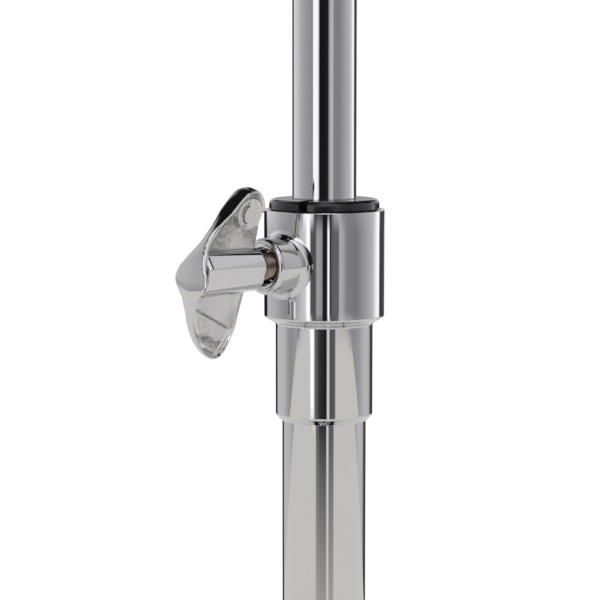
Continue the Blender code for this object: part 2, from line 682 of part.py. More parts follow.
def build_leg(number, root, azimuth):
    """One leg of the tripod: brace on the hub, leg on the brace."""
    lower, middle, upper = leg_frames(azimuth)
    brace_axis = pivot("brace_%d_axis" % number, root, lower)
    leg_axis = pivot("leg_%d_axis" % number, brace_axis, middle)

    build_brace(number, brace_axis, lower)

    direction = pitched(upper, math.pi / 2.0 - LEG_ANGLE)
    spacer_x = LEG_L - SPACER_FROM_FOOT
    for side, sign in (("left", 1.0), ("right", -1.0)):
        inside = sign * CHEEK
        outside = sign * (CHEEK + STRIP_T)
        strip = plate(round_bar(LEG_L, STRIP_W / 2.0), min(inside, outside), max(inside, outside))
        strip = piece("leg_%d_strip_%s" % (number, side), strip, "chrome", leg_axis, direction)
        cut(strip, across_pins(PIN_R + PIN_GAP, 2.0 * (CHEEK + STRIP_T),
                               [(0.0, 0.0), (BRACE_L, 0.0), (spacer_x, 0.0)]))
    strip_face = CHEEK + STRIP_T + RUN_GAP
    pin = moved(pin_shape(PIN_R, strip_face, PIN_HEAD_R, PIN_HEAD_H), lateral())
    piece("leg_%d_brace_pin" % number, pin, "steel", leg_axis, middle)
    crown = strip_face + PIN_HEAD_H
    barrel = CHEEK - RUN_GAP
    half_spacer = [(SPACER_R, barrel), (PIN_R, barrel), (PIN_R, strip_face), (PIN_HEAD_R, strip_face),
                   (0.6 * PIN_HEAD_R, crown), (0.0, crown)]
    spacer = turned([(r, -z) for r, z in reversed(half_spacer)] + half_spacer, PIN_SIDES)
    spacer_place = direction @ at(spacer_x, 0.0, 0.0)
    piece("leg_%d_spacer" % number, moved(spacer, lateral()), "steel", leg_axis, spacer_place)
    build_foot(number, leg_axis, azimuth)

    ear_face = CHEEK + EAR_T + RUN_GAP
    hub_pin = moved(pin_shape(PIN_R, ear_face, PIN_HEAD_R, PIN_HEAD_H), lateral())
    piece("hub_pin_%d" % number, hub_pin, "steel", root, lower)
    return leg_axis, upper


def build_tripod(root):
    build_brace_hub(root)
    first_leg = None
    tops = []
    for number, azimuth in enumerate(LEG_AZIMUTHS, start=1):
        leg_axis, upper = build_leg(number, root, azimuth)
        first_leg = first_leg or leg_axis
        tops.append(upper)
    collar_axis = pivot("leg_collar_axis", first_leg, tops[0])
    build_leg_collar(collar_axis)
    strip_face = CHEEK + STRIP_T + RUN_GAP
    for number, upper in enumerate(tops, start=1):
        pin = moved(pin_shape(PIN_R, strip_face, PIN_HEAD_R, PIN_HEAD_H), lateral())
        piece("collar_pin_%d" % number, pin, "steel", collar_axis, upper)


# Upper tube and tilter

def build_upper_tube(root):
    slide = pivot("upper_tube_axis", root, post(CLAMP_TOP_Z))
    inner = UPPER_TUBE_R - UPPER_TUBE_WALL
    low = CLAMP_TOP_Z - UPPER_TUBE_BELOW
    high = SOCKET_Z + SOCKET_H - RUN_GAP
    piece("upper_tube", ring(inner, UPPER_TUBE_R, low, high), "chrome", slide, post())
    glide_r = LOWER_TUBE_R - LOWER_TUBE_WALL - RUN_GAP
    glide = end_plug(glide_r, GLIDE_H, inner - PRESS_GAP, GLIDE_PLUG_H)
    piece("upper_tube_glide", glide, "nylon", slide, post(low))
    return slide


def tilt_disc(x0):
    """One of the two discs that the tilter's screw clamps together; it starts at x0 on the tilt axis."""
    middle = at(x0 + TILT_DISC_T / 2.0, 0.0, 0.0)
    return moved(cast_drum(TILT_DISC_R, TILT_DISC_T, RIM_BEVEL), middle @ outward())


def cross_plate(outline, x0, x1):
    """Extrudes an outline drawn in YZ from x0 to x1."""
    return moved(plate(outline, -x1, -x0), about_z(math.radians(90.0)))


def neck_outline(low, high, low_half, high_half):
    return [(-low_half, low), (low_half, low), (high_half, high), (-high_half, high)]


def build_tilter(slide):
    swivel = pivot("tilter_swivel_axis", slide, post(SOCKET_Z))
    near = RUN_GAP
    far = RUN_GAP + TILT_DISC_T
    roof_z = SOCKET_H + SOCKET_ROOF
    bore_r = UPPER_TUBE_R + RUN_GAP
    body = turned([(0.0, SOCKET_H), (bore_r, SOCKET_H), (bore_r, 0.0), (SOCKET_R - CAST_BEVEL, 0.0),
                   (SOCKET_R, CAST_BEVEL), (SOCKET_R, SOCKET_H), (SOCKET_R - SOCKET_ROOF, roof_z),
                   (0.0, roof_z)], CAST_SIDES)
    base = piece("tilter_base", body, "cast_chrome", swivel, post(SOCKET_Z))
    pivot_up = at(0.0, 0.0, TILT_PIVOT_UP)
    join(base, moved(tilt_disc(-far), pivot_up))
    neck = neck_outline(SOCKET_H + 0.1 * SOCKET_ROOF, TILT_PIVOT_UP, TILT_NECK_HALF, TILT_NECK_TOP_HALF)
    join(base, cross_plate(neck, NECK_INSET - far, -near - NECK_INSET))
    cross_hole = rod(SHANK_R + PIN_GAP, -2.0 * far, 2.0 * far)
    cut(base, moved(cross_hole, pivot_up @ outward()))

    tilt_frame = post(TILT_Z)
    nut = rod(NUT_FLAT_R / math.cos(math.radians(30.0)), 0.0, NUT_H, 6)
    nut_place = tilt_frame @ at(-far - RUN_GAP - NUT_H, 0.0, 0.0)
    nut = piece("tilter_nut", moved(nut, outward()), "steel", swivel, nut_place)
    cut(nut, moved(rod(SHANK_R + 2.0 * PRESS_GAP, -NUT_H, 2.0 * NUT_H), outward()))

    tilt = pivot("tilt_axis", swivel, tilt_frame)
    head = piece("tilter_head", tilt_disc(near), "cast_chrome", tilt, tilt_frame)
    boss_low = TILT_DISC_R + HEAD_BOSS_CLEAR
    boss_h = HEAD_BOSS_TOP - boss_low
    join(head, moved(cast_drum(HEAD_BOSS_R, boss_h, RIM_BEVEL), at(0.0, 0.0, boss_low + boss_h / 2.0)))
    neck = neck_outline(0.1 * TILT_DISC_R, HEAD_BOSS_TOP - boss_h / 4.0, TILT_NECK_TOP_HALF,
                        0.7 * TILT_NECK_HALF)
    join(head, cross_plate(neck, near + NECK_INSET, far - NECK_INSET))
    cut(head, moved(rod(SHANK_R + PIN_GAP, -2.0 * far, 2.0 * far), outward()))
    cut(head, rod(STEM_R + PRESS_GAP, boss_low + STEM_FLOOR, 2.0 * HEAD_BOSS_TOP))

    screw_x = SOCKET_R + WING_CLEAR
    spacer = ring(SHANK_R + PIN_GAP, SPACER_RING_R, far + RUN_GAP, screw_x - RUN_GAP, ROD_SIDES)
    piece("tilter_spacer", moved(spacer, outward()), "nylon", tilt, tilt_frame)
    tip = -far - RUN_GAP - NUT_H - screw_x - MM
    wing_screw("tilter_wing", swivel, tilt_frame @ at(screw_x, 0.0, 0.0), tip)
    return tilt


# Basket

def build_basket_core(tilt):
    stem_low = TILT_Z + TILT_DISC_R + HEAD_BOSS_CLEAR + STEM_FLOOR + RUN_GAP
    half = SPIDER_H / 2.0
    bore_top = half - STEM_FLOOR
    stem = rod(STEM_R, stem_low, SPIDER_Z + bore_top - RUN_GAP)
    piece("basket_stem", stem, "steel", tilt, post())
    spider = piece("basket_spider", cast_drum(SPIDER_R, SPIDER_H), "cast_chrome", tilt, post(SPIDER_Z))
    lug = lug_outline(LUG_START_R, BASKET_PIVOT_R, SPIDER_LUG_R)
    join(spider, three_round(lambda: plate(lug, -ARM_ROD_R, ARM_ROD_R)))
    cut(spider, rod(STEM_R + PRESS_GAP, -SPIDER_H, bore_top))
    cut(spider, pin_holes(LINK_PIN_R + PIN_GAP, 2.0 * ARM_ROD_R, BASKET_PIVOT_R))


def build_yoke(yoke_axis):
    yoke = piece("basket_yoke", cast_drum(YOKE_R, YOKE_H), "cast_chrome", yoke_axis, post(YOKE_Z))
    join(yoke, three_round(lambda: paired_ears(LUG_START_R, BASKET_PIVOT_R, ARM_CLEVIS_HALF, EAR_T)))
    cut(yoke, rod(STEM_R + RUN_GAP, -YOKE_H, YOKE_H))
    reach = 2.0 * (ARM_CLEVIS_HALF + EAR_T)
    cut(yoke, pin_holes(LINK_PIN_R + PIN_GAP, reach, BASKET_PIVOT_R))
    pin_half = ARM_CLEVIS_HALF + EAR_T + RUN_GAP
    for number, azimuth in enumerate(LEG_AZIMUTHS, start=1):
        pin = moved(pin_shape(LINK_PIN_R, pin_half, 1.6 * LINK_PIN_R, PIN_HEAD_H), lateral())
        pin_place = radial_frame(azimuth, BASKET_PIVOT_R, YOKE_Z)
        piece("yoke_pin_%d" % number, pin, "steel", yoke_axis, pin_place)

    nut_top = YOKE_Z - YOKE_H / 2.0 - RUN_GAP
    nut_axis = pivot("basket_nut_axis", yoke_axis, post(nut_top))
    outline = []
    steps = 4 * BASKET_NUT_FLUTES
    flute = 0.06 * BASKET_NUT_R
    for i in range(steps):
        a = 2.0 * math.pi * i / steps
        r = BASKET_NUT_R - flute * (1.0 - abs(math.sin(BASKET_NUT_FLUTES * a / 2.0)))
        outline.append((r * math.cos(a), r * math.sin(a)))
    knob = moved(plate(outline, 0.0, BASKET_NUT_H), lateral())
    nut = piece("basket_nut", knob, "nylon", nut_axis, post(nut_top))
    cut(nut, rod(STEM_R + RUN_GAP, -2.0 * BASKET_NUT_H, BASKET_NUT_H))


def arm_path():
    """Rod's centre line in the arm's own XZ: straight, a bend, then up to the end."""
    turn = math.pi / 2.0 - ARM_ANGLE
    setback = ARM_BEND_R * math.tan(turn / 2.0)
    start_x = ARM_L - setback
    path = [(0.0, 0.0), (0.5 * start_x, 0.0)]
    steps = 4
    for i in range(steps + 1):
        a = turn * i / steps
        path.append((start_x + ARM_BEND_R * math.sin(a), ARM_BEND_R * (1.0 - math.cos(a))))
    end = path[-1]
    straight = ARM_UPRIGHT - setback
    path.append((end[0] + straight * math.cos(turn), end[1] + straight * math.sin(turn)))
    return path


def build_link(number, parent, frame):
    """Pressed link that straddles the spider's lug and the arm, with its two pins riveted in."""
    direction = pitched(frame, ARM_ANGLE)
    outer = ARM_CLEVIS_HALF + LINK_WALL
    block = plate(round_bar(LINK_L, LINK_HALF_H), -outer, outer)
    link = piece("link_%d" % number, block, "chrome", parent, direction)
    cut(link, channel_form(LINK_L, 2.0 * LINK_HALF_H, LINK_WEB_FROM_SPIDER, LINK_L - LINK_WEB_FROM_ARM,
                           LINK_HALF_H - LINK_WEB_T, ARM_CLEVIS_HALF))
    join(link, across_pins(LINK_PIN_R, outer + LINK_PIN_PROUD, [(0.0, 0.0), (LINK_L, 0.0)]))


def build_arm(number, parent, azimuth):
    yoke_place = radial_frame(azimuth, BASKET_PIVOT_R, YOKE_Z)
    direction = pitched(yoke_place, -ARM_ANGLE)
    path = arm_path()
    rod_form = swept(path, [disc_section(ARM_ROD_R)] * len(path))
    arm = piece("arm_%d" % number, rod_form, "chrome", parent, direction)
    eyes = [moved(rod(ARM_EYE_R, -ARM_EYE_HALF, ARM_EYE_HALF, 10), at(x, 0.0, 0.0) @ lateral())
            for x in (0.0, LINK_L)]
    join(arm, merged(eyes))
    cut(arm, across_pins(LINK_PIN_R + PIN_GAP, 2.0 * ARM_ROD_R, [(0.0, 0.0), (LINK_L, 0.0)]))

    grip_place = radial_frame(azimuth, ARM_END_R, ARM_END_Z)
    grip_form = plate(grip_outline(), -GRIP_W / 2.0, GRIP_W / 2.0)
    grip = piece("grip_%d" % number, grip_form, "rubber", parent, grip_place)
    tip = (path[-1][0] + RUN_GAP * math.sin(ARM_ANGLE), path[-1][1] + RUN_GAP * math.cos(ARM_ANGLE))
    way = path[1:-1] + [tip]
    hole = swept(way, [disc_section(ARM_ROD_R + RUN_GAP)] * len(way))
    cut(grip, moved(hole, grip_place.inverted() @ direction))


def grip_outline():
    """Side view of a grip about the arm's end: ledge under the hoop, back, and a lip over it."""
    corner = GRIP_CORNER_R
    left = -GRIP_HALF - GRIP_LEDGE
    lip = -GRIP_HALF - GRIP_LIP
    outline = [(left, GRIP_SEAT_UP), (left, -GRIP_UNDER)]
    outline += arc(GRIP_HALF - corner, corner - GRIP_UNDER, corner, -90.0, 0.0, 4)
    outline += arc(GRIP_HALF - corner, GRIP_TOP_UP - corner, corner, 0.0, 90.0, 4)
    outline += [(lip + RIM_BEVEL, GRIP_TOP_UP), (lip, GRIP_TOP_UP - RIM_BEVEL)]
    outline += [(lip, GRIP_TOP_UP - 2.0 * GRIP_LIP), (-GRIP_HALF, GRIP_TOP_UP - 3.5 * GRIP_LIP)]
    return outline + [(-GRIP_HALF, GRIP_SEAT_UP)]


def build_basket(tilt):
    build_basket_core(tilt)
    first_arm = None
    for number, azimuth in enumerate(LEG_AZIMUTHS, start=1):
        top = radial_frame(azimuth, BASKET_PIVOT_R, SPIDER_Z)
        link_axis = pivot("link_%d_axis" % number, tilt, top)
        build_link(number, link_axis, top)
        middle = radial_frame(azimuth, BASKET_PIVOT_R + LINK_L * math.cos(ARM_ANGLE),
                              SPIDER_Z - LINK_L * math.sin(ARM_ANGLE))
        arm_axis = pivot("arm_%d_axis" % number, link_axis, middle)
        build_arm(number, arm_axis, azimuth)
        first_arm = first_arm or arm_axis
    yoke_axis = pivot("basket_yoke_axis", first_arm, radial_frame(LEG_AZIMUTHS[0], BASKET_PIVOT_R, YOKE_Z))
    build_yoke(yoke_axis)


def main():
    clear_scene()
    root = pivot("stand", None, post())
    build_post(root)
    build_clamp(root)
    build_tripod(root)
    slide = build_upper_tube(root)
    tilt = build_tilter(slide)
    build_basket(tilt)


main()
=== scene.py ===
"""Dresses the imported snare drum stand: fine plated surfaces, cast wing screws, threads, studio and camera."""
from contextlib import contextmanager
import json
import math

import bmesh
import bpy
import numpy as np
from mathutils import Matrix, Vector

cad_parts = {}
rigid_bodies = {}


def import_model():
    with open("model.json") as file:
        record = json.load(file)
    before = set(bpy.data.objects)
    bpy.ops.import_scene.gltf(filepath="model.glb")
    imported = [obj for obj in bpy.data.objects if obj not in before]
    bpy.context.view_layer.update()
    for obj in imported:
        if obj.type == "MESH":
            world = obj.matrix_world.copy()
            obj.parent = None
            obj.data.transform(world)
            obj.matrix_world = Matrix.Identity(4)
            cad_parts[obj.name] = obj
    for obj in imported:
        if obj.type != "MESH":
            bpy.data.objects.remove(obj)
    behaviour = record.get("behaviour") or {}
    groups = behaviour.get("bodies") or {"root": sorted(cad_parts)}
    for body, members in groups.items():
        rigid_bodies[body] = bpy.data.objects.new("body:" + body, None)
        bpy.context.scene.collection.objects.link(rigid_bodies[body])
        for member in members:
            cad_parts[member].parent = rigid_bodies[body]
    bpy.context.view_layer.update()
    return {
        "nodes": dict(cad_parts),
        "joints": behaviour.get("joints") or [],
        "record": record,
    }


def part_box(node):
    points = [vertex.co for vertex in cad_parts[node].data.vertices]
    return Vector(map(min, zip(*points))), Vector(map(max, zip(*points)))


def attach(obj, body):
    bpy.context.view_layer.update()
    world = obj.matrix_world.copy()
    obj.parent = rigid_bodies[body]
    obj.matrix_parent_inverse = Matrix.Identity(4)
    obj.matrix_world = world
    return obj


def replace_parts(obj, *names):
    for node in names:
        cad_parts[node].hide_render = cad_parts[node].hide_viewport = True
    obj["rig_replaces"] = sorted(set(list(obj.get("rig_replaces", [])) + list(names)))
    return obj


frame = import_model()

MM = 0.001
NODES = frame["nodes"]
JOINTS = {joint["name"]: joint for joint in frame["joints"]}
BODY_OF = {node: body for body, members in frame["record"]["behaviour"]["bodies"].items() for node in members}


# Places read from the frame

TUBE_LOW, TUBE_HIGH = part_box("upper_tube")
POST = (TUBE_LOW + TUBE_HIGH) / 2.0
POST.z = 0.0
COLLAR_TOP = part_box("clamp_collar")[1].z
WING_TURNS = {"clamp_wing": math.radians(-14.0), "leg_collar_wing": 0.0, "tilter_wing": 0.0}


def on_post(z):
    return Matrix.Translation((POST.x, POST.y, z))


def hinge_frame(name, turn=0.0):
    """A frame on a hinge whose X is the hinge's axis and whose Z leans to +Z."""
    joint = JOINTS[name]
    x = Vector(joint["axis"]).normalized()
    y = Vector((0.0, 0.0, 1.0)).cross(x).normalized()
    z = x.cross(y)
    turned = Matrix((x, y, z)).transposed().to_4x4()
    return Matrix.Translation(joint["pos_m"]) @ turned @ Matrix.Rotation(turn, 4, "X")


def along_axis(node, frame_matrix):
    """How far a node reaches along a frame's X axis."""
    inverse = frame_matrix.inverted()
    reach = [(inverse @ v.co).x for v in NODES[node].data.vertices]
    return min(reach), max(reach)


# Node trees: numbers go in and out of them by name, and maths joins plain numbers and sockets alike

def new_node(tree, kind, **inputs):
    """A node whose named inputs are set to plain values or linked to sockets."""
    node = tree.nodes.new(kind)
    for label, value in inputs.items():
        feed(tree, node.inputs[label.replace("_", " ")], value)
    return node


def feed(tree, socket, value):
    if isinstance(value, (int, float, tuple)):
        socket.default_value = value
    else:
        tree.links.new(value, socket)


def named_inputs(tree, inputs):
    for name, value in inputs.items():
        kind = "NodeSocketInt" if isinstance(value, int) else "NodeSocketFloat"
        socket = tree.interface.new_socket(name.replace("_", " "), in_out="INPUT", socket_type=kind)
        socket.default_value = value


def ends_of(tree):
    return tree.nodes.new("NodeGroupInput").outputs, tree.nodes.new("NodeGroupOutput").inputs


def shader_group(name, results, **inputs):
    """A shader group that reads a place and some numbers, and gives named numbers."""
    group = bpy.data.node_groups.new(name, "ShaderNodeTree")
    group.interface.new_socket("Vector", in_out="INPUT", socket_type="NodeSocketVector")
    named_inputs(group, inputs)
    for result in results:
        group.interface.new_socket(result, in_out="OUTPUT", socket_type="NodeSocketFloat")
    return group, *ends_of(group)


def noise(tree, vector, scale, detail, roughness=0.5):
    values = {"Vector": vector, "Scale": scale, "Detail": detail, "Roughness": roughness}
    return new_node(tree, "ShaderNodeTexNoise", **values).outputs["Fac"]


def maths(tree, operation, *values):
    node = tree.nodes.new("ShaderNodeMath")
    node.operation = operation
    for socket, value in zip(node.inputs, values):
        feed(tree, socket, value)
    return node.outputs["Value"]


def plus(tree, a, b):
    return maths(tree, "ADD", a, b)


def minus(tree, a, b):
    return maths(tree, "SUBTRACT", a, b)


def times(tree, a, b):
    return maths(tree, "MULTIPLY", a, b)


def spread(tree, value, low, high, to_low=0.0, to_high=1.0):
    """Maps a value from one range to another, held at the ends."""
    node = new_node(tree, "ShaderNodeMapRange", Value=value, From_Min=low, From_Max=high,
                    To_Min=to_low, To_Max=to_high)
    return node.outputs["Result"]


def blended(tree, share, a, b):
    """Goes from one number over to another."""
    node = new_node(tree, "ShaderNodeMix", Factor=share)
    for socket, value in zip(node.inputs[2:4], (a, b)):
        feed(tree, socket, value)
    return node.outputs[0]


def blended_colour(tree, share, a, b):
    node = tree.nodes.new("ShaderNodeMix")
    node.data_type = "RGBA"
    feed(tree, node.inputs["Factor"], share)
    for socket, value in zip(node.inputs[6:8], (a, b)):
        feed(tree, socket, (*value, 1.0) if isinstance(value, tuple) else value)
    return node.outputs[2]


# Shader groups that several finishes share

SCRATCH_SCALE = (900.0, 900.0, 40.0)
SCRATCH_LEAN = (0.5, 0.35, 0.0)


def plating_group():
    """Handling marks on plating: soft smudges and a few fine scratches."""
    group, given, made = shader_group(
        "plating_marks", ("Roughness", "Tint", "Height"),
        Smudge_Scale=60.0, Base_Roughness=0.04, Smudge_Roughness=0.05)
    smudge = spread(group, noise(group, given["Vector"], given["Smudge Scale"], 5.0, 0.62), 0.52, 0.74)
    stretch = new_node(group, "ShaderNodeMapping", Vector=given["Vector"], Scale=SCRATCH_SCALE,
                       Rotation=SCRATCH_LEAN)
    scratch = spread(group, noise(group, stretch.outputs["Vector"], 1.0, 2.0), 0.70, 0.78)
    marks = maths(group, "MAXIMUM", smudge, times(group, scratch, 0.5))
    rough = times(group, marks, given["Smudge Roughness"])
    feed(group, made["Roughness"], plus(group, rough, given["Base Roughness"]))
    feed(group, made["Tint"], smudge)
    feed(group, made["Height"], times(group, scratch, -1.0))
    return group


def grain_group():
    """Cast or moulded skin: slow waviness with fine pits on top."""
    group, given, made = shader_group(
        "skin_grain", ("Height", "Mask"), Wave_Scale=120.0, Pit_Scale=1800.0, Pit_Share=0.2)
    wave = noise(group, given["Vector"], given["Wave Scale"], 2.0)
    pits = noise(group, given["Vector"], given["Pit Scale"], 3.0, 0.6)
    feed(group, made["Height"], plus(group, wave, times(group, pits, given["Pit Share"])))
    feed(group, made["Mask"], pits)
    return group


PLATING = plating_group()
GRAIN = grain_group()


# Finishes

def new_material(name, colour, metallic, roughness):
    material = bpy.data.materials.new(name)
    material.use_nodes = True
    tree = material.node_tree
    shader = tree.nodes["Principled BSDF"].inputs
    for label, value in (("Base Color", (*colour, 1.0)), ("Metallic", metallic), ("Roughness", roughness)):
        shader[label].default_value = value
    place = tree.nodes.new("ShaderNodeTexCoord").outputs["Object"]
    return material, tree, shader, place


def use_group(tree, group, place, **values):
    node = tree.nodes.new("ShaderNodeGroup")
    node.node_tree = group
    for label, value in {"Vector": place, **values}.items():
        feed(tree, node.inputs[label.replace("_", " ")], value)
    return node.outputs


def add_bump(tree, shader, height, strength, distance):
    bump = new_node(tree, "ShaderNodeBump", Strength=strength, Distance=distance, Height=height)
    feed(tree, shader["Normal"], bump.outputs["Normal"])


def tint_by(tree, shader, mask, clean, marked):
    feed(tree, shader["Base Color"], blended_colour(tree, mask, clean, marked))


def roughen(tree, shader, grain, low, high):
    feed(tree, shader["Roughness"], spread(tree, grain["Mask"], 0.3, 0.7, low, high))


def plated(name, colour, marked, roughness, waves, pits):
    """Bright plating over tube, sheet or a casting."""
    material, tree, shader, place = new_material(name, colour, 1.0, roughness)
    marks = use_group(tree, PLATING, place, Base_Roughness=roughness, Smudge_Roughness=0.6 * roughness + 0.01)
    grain = use_group(tree, GRAIN, place, Wave_Scale=140.0, Pit_Share=pits)
    feed(tree, shader["Roughness"], marks["Roughness"])
    tint_by(tree, shader, marks["Tint"], colour, marked)
    height = plus(tree, grain["Height"], times(tree, marks["Height"], 0.05))
    add_bump(tree, shader, height, waves, 0.0004)
    return material


def satin_casting(name, colour):
    """Cast wing: bright and polished on the rims, satin and grainy where the attribute says that it is
    recessed; there its colour is darkened with painted shade.
    """
    material, tree, shader, place = new_material(name, colour, 1.0, 0.08)
    recess = tree.nodes.new("ShaderNodeAttribute")
    recess.attribute_name = "recess"
    mask = recess.outputs["Fac"]
    marks = use_group(tree, PLATING, place, Base_Roughness=0.055, Smudge_Roughness=0.05)
    grain = use_group(tree, GRAIN, place, Wave_Scale=260.0, Pit_Scale=2600.0, Pit_Share=1.0)
    satin = spread(tree, grain["Mask"], 0.3, 0.7, 0.26, 0.40)
    feed(tree, shader["Roughness"], blended(tree, mask, marks["Roughness"], satin))
    mottled = noise(tree, place, 900.0, 3.0, 0.6)
    # Painted shade: the recessed webs' colour is darkened, mottled, down to about a third of the chrome's, as
    # if the hollows were shaded.
    painted_recess_shade = times(tree, mask, spread(tree, mottled, 0.35, 0.65, 0.35, 1.0))
    tint_by(tree, shader, painted_recess_shade, colour, tuple(0.34 * c for c in colour))
    amount = spread(tree, mask, 0.0, 1.0, 0.05, 1.0)
    add_bump(tree, shader, times(tree, grain["Height"], amount), 0.35, 0.00022)
    return material


def plain_steel(name, colour, marked, roughness):
    material, tree, shader, place = new_material(name, colour, 1.0, roughness)
    grain = use_group(tree, GRAIN, place, Wave_Scale=400.0, Pit_Scale=3000.0, Pit_Share=0.8)
    roughen(tree, shader, grain, roughness - 0.06, roughness + 0.10)
    tint_by(tree, shader, grain["Mask"], colour, marked)
    add_bump(tree, shader, grain["Height"], 0.25, 0.0001)
    return material


def moulded(name, colour, worn, roughness, scale, strength):
    """Nylon or rubber out of a mould."""
    material, tree, shader, place = new_material(name, colour, 0.0, roughness)
    grain = use_group(tree, GRAIN, place, Wave_Scale=0.15 * scale, Pit_Scale=scale, Pit_Share=0.7)
    dust = spread(tree, noise(tree, place, 45.0, 4.0, 0.6), 0.5, 0.8)
    tint_by(tree, shader, dust, colour, worn)
    roughen(tree, shader, grain, roughness - 0.05, roughness + 0.08)
    add_bump(tree, shader, grain["Height"], strength, 0.0002)
    return material


TUBE_CHROME = plated("tube_chrome", (0.60, 0.60, 0.605), (0.575, 0.575, 0.58),
                     roughness=0.02, waves=0.0012, pits=0.02)
SHEET_CHROME = plated("sheet_chrome", (0.58, 0.58, 0.59), (0.52, 0.52, 0.53),
                      roughness=0.06, waves=0.03, pits=0.05)
CAST_CHROME = plated("cast_chrome", (0.58, 0.575, 0.575), (0.51, 0.51, 0.51),
                     roughness=0.07, waves=0.10, pits=0.08)
WING_CHROME = satin_casting("wing_chrome", (0.62, 0.615, 0.61))
PIN_STEEL = plain_steel("pin_steel", (0.46, 0.45, 0.44), (0.34, 0.33, 0.32), roughness=0.28)
THREAD_STEEL = plain_steel("thread_steel", (0.42, 0.34, 0.29), (0.26, 0.20, 0.16), roughness=0.24)
BRASS = plain_steel("shoe_brass", (0.72, 0.52, 0.25), (0.50, 0.36, 0.17), roughness=0.30)
NYLON = moulded("bush_nylon", (0.008, 0.008, 0.010), (0.018, 0.018, 0.020),
                roughness=0.12, scale=900.0, strength=0.03)
KNOB_NYLON = moulded("knob_nylon", (0.016, 0.016, 0.018), (0.035, 0.034, 0.033),
                     roughness=0.34, scale=1500.0, strength=0.30)
RUBBER = moulded("foot_rubber", (0.020, 0.020, 0.020), (0.055, 0.052, 0.048),
                 roughness=0.62, scale=1100.0, strength=0.5)


# Making pieces

def finish_piece(mesh, node, ending, material):
    """A mesh in the row frame becomes a piece that stands for one CAD node."""
    mesh.materials.clear()
    mesh.materials.append(material)
    obj = linked(mesh, node + "_" + ending)
    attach(obj, BODY_OF[node])
    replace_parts(obj, node)


def linked(data, name):
    obj = bpy.data.objects.new(name, data)
    bpy.context.scene.collection.objects.link(obj)
    return obj


def settled(obj, name):
    """The object's evaluated shape as a plain mesh; the object is removed."""
    bpy.context.view_layer.update()
    graph = bpy.context.evaluated_depsgraph_get()
    mesh = bpy.data.meshes.new_from_object(obj.evaluated_get(graph))
    mesh.name = name
    bpy.data.objects.remove(obj)
    return mesh


@contextmanager
def edited(mesh):
    """The mesh opened for changes, and written back after them."""
    shape = bmesh.new()
    shape.from_mesh(mesh)
    yield shape
    shape.to_mesh(mesh)
    shape.free()


def face_outward(shape):
    bmesh.ops.recalc_face_normals(shape, faces=shape.faces)


def smooth_but_sharp(mesh, smooth_angle):
    mesh.shade_smooth()
    mesh.set_sharp_from_angle(angle=math.radians(smooth_angle))


def true_flats(mesh, smooth_angle):
    """Shades large flat or straight faces by their own direction, so that reflections stay straight."""
    smooth_but_sharp(mesh, smooth_angle)
    holder = linked(mesh, mesh.name + "_flats")
    weighted = holder.modifiers.new("flats", "WEIGHTED_NORMAL")
    weighted.mode = "FACE_AREA"
    weighted.weight = 100
    weighted.keep_sharp = True
    return settled(holder, mesh.name)


def mesh_from(shape, name, smooth_angle=30.0):
    face_outward(shape)
    mesh = bpy.data.meshes.new(name)
    shape.to_mesh(mesh)
    shape.free()
    return true_flats(mesh, smooth_angle)


def band_of_faces(shape, here, after):
    """Joins two closed rings of points with quads."""
    count = len(here)
    for k in range(count):
        n = (k + 1) % count
        shape.faces.new((here[k], after[k], after[n], here[n]))


def lathe(profile, sides, start=0.0, sweep=2.0 * math.pi):
    """Turns a closed (r, z) profile about Z; a part sweep gets flat end faces."""
    shape = bmesh.new()
    whole = sweep > 2.0 * math.pi - 1e-6
    columns = sides if whole else sides + 1
    rings = []
    for i in range(columns):
        a = start + sweep * i / sides
        rings.append([shape.verts.new((r * math.cos(a), r * math.sin(a), z)) for r, z in profile])
    for i in range(sides):
        band_of_faces(shape, rings[i], rings[(i + 1) % columns])
    if not whole:
        shape.faces.new(rings[0])
        shape.faces.new(rings[-1][::-1])
    bmesh.ops.remove_doubles(shape, verts=shape.verts, dist=1e-7)
    return shape


def arc(cx, cz, radius, start, end, steps):
    points = []
    for i in range(steps + 1):
        a = math.radians(start + (end - start) * i / steps)
        points.append((cx + radius * math.cos(a), cz + radius * math.sin(a)))
    return points


def rounded(points, radius, steps):
    """A closed (r, z) outline with each corner rounded off."""
    done = []
    count = len(points)
    for i, (x, z) in enumerate(points):
        here = Vector((x, z))
        back = Vector(points[i - 1]) - here
        on = Vector(points[(i + 1) % count]) - here
        reach = min(radius, 0.45 * back.length, 0.45 * on.length)
        first = here + back.normalized() * reach
        last = here + on.normalized() * reach
        for k in range(steps + 1):
            t = k / steps
            p = first * (1 - t) ** 2 + here * 2 * t * (1 - t) + last * t * t
            done.append((p.x, p.y))
    return done


# Geometry Nodes: a threaded rod, a drawn tube and a fluted knob

def geometry_tree(name, **inputs):
    tree = bpy.data.node_groups.new(name, "GeometryNodeTree")
    named_inputs(tree, inputs)
    tree.interface.new_socket("Material", in_out="INPUT", socket_type="NodeSocketMaterial")
    tree.interface.new_socket("Geometry", in_out="OUTPUT", socket_type="NodeSocketGeometry")
    return tree, *ends_of(tree)


def finish_tree(tree, geometry, given, made):
    realized = new_node(tree, "GeometryNodeRealizeInstances", Geometry=geometry).outputs["Geometry"]
    painted = new_node(tree, "GeometryNodeSetMaterial", Geometry=realized, Material=given["Material"])
    feed(tree, made["Geometry"], painted.outputs["Geometry"])
    return tree


def turned_grid(tree, rows, sides):
    """A unit grid with its own place as two fields: u along the axis and v round it, both 0 to 1."""
    grid = new_node(tree, "GeometryNodeMeshGrid", Size_X=1.0, Size_Y=1.0, Vertices_X=rows,
                    Vertices_Y=sides + 1)
    position = new_node(tree, "GeometryNodeInputPosition").outputs["Position"]
    split = new_node(tree, "ShaderNodeSeparateXYZ", Vector=position).outputs
    return grid.outputs["Mesh"], plus(tree, split["X"], 0.5), plus(tree, split["Y"], 0.5)


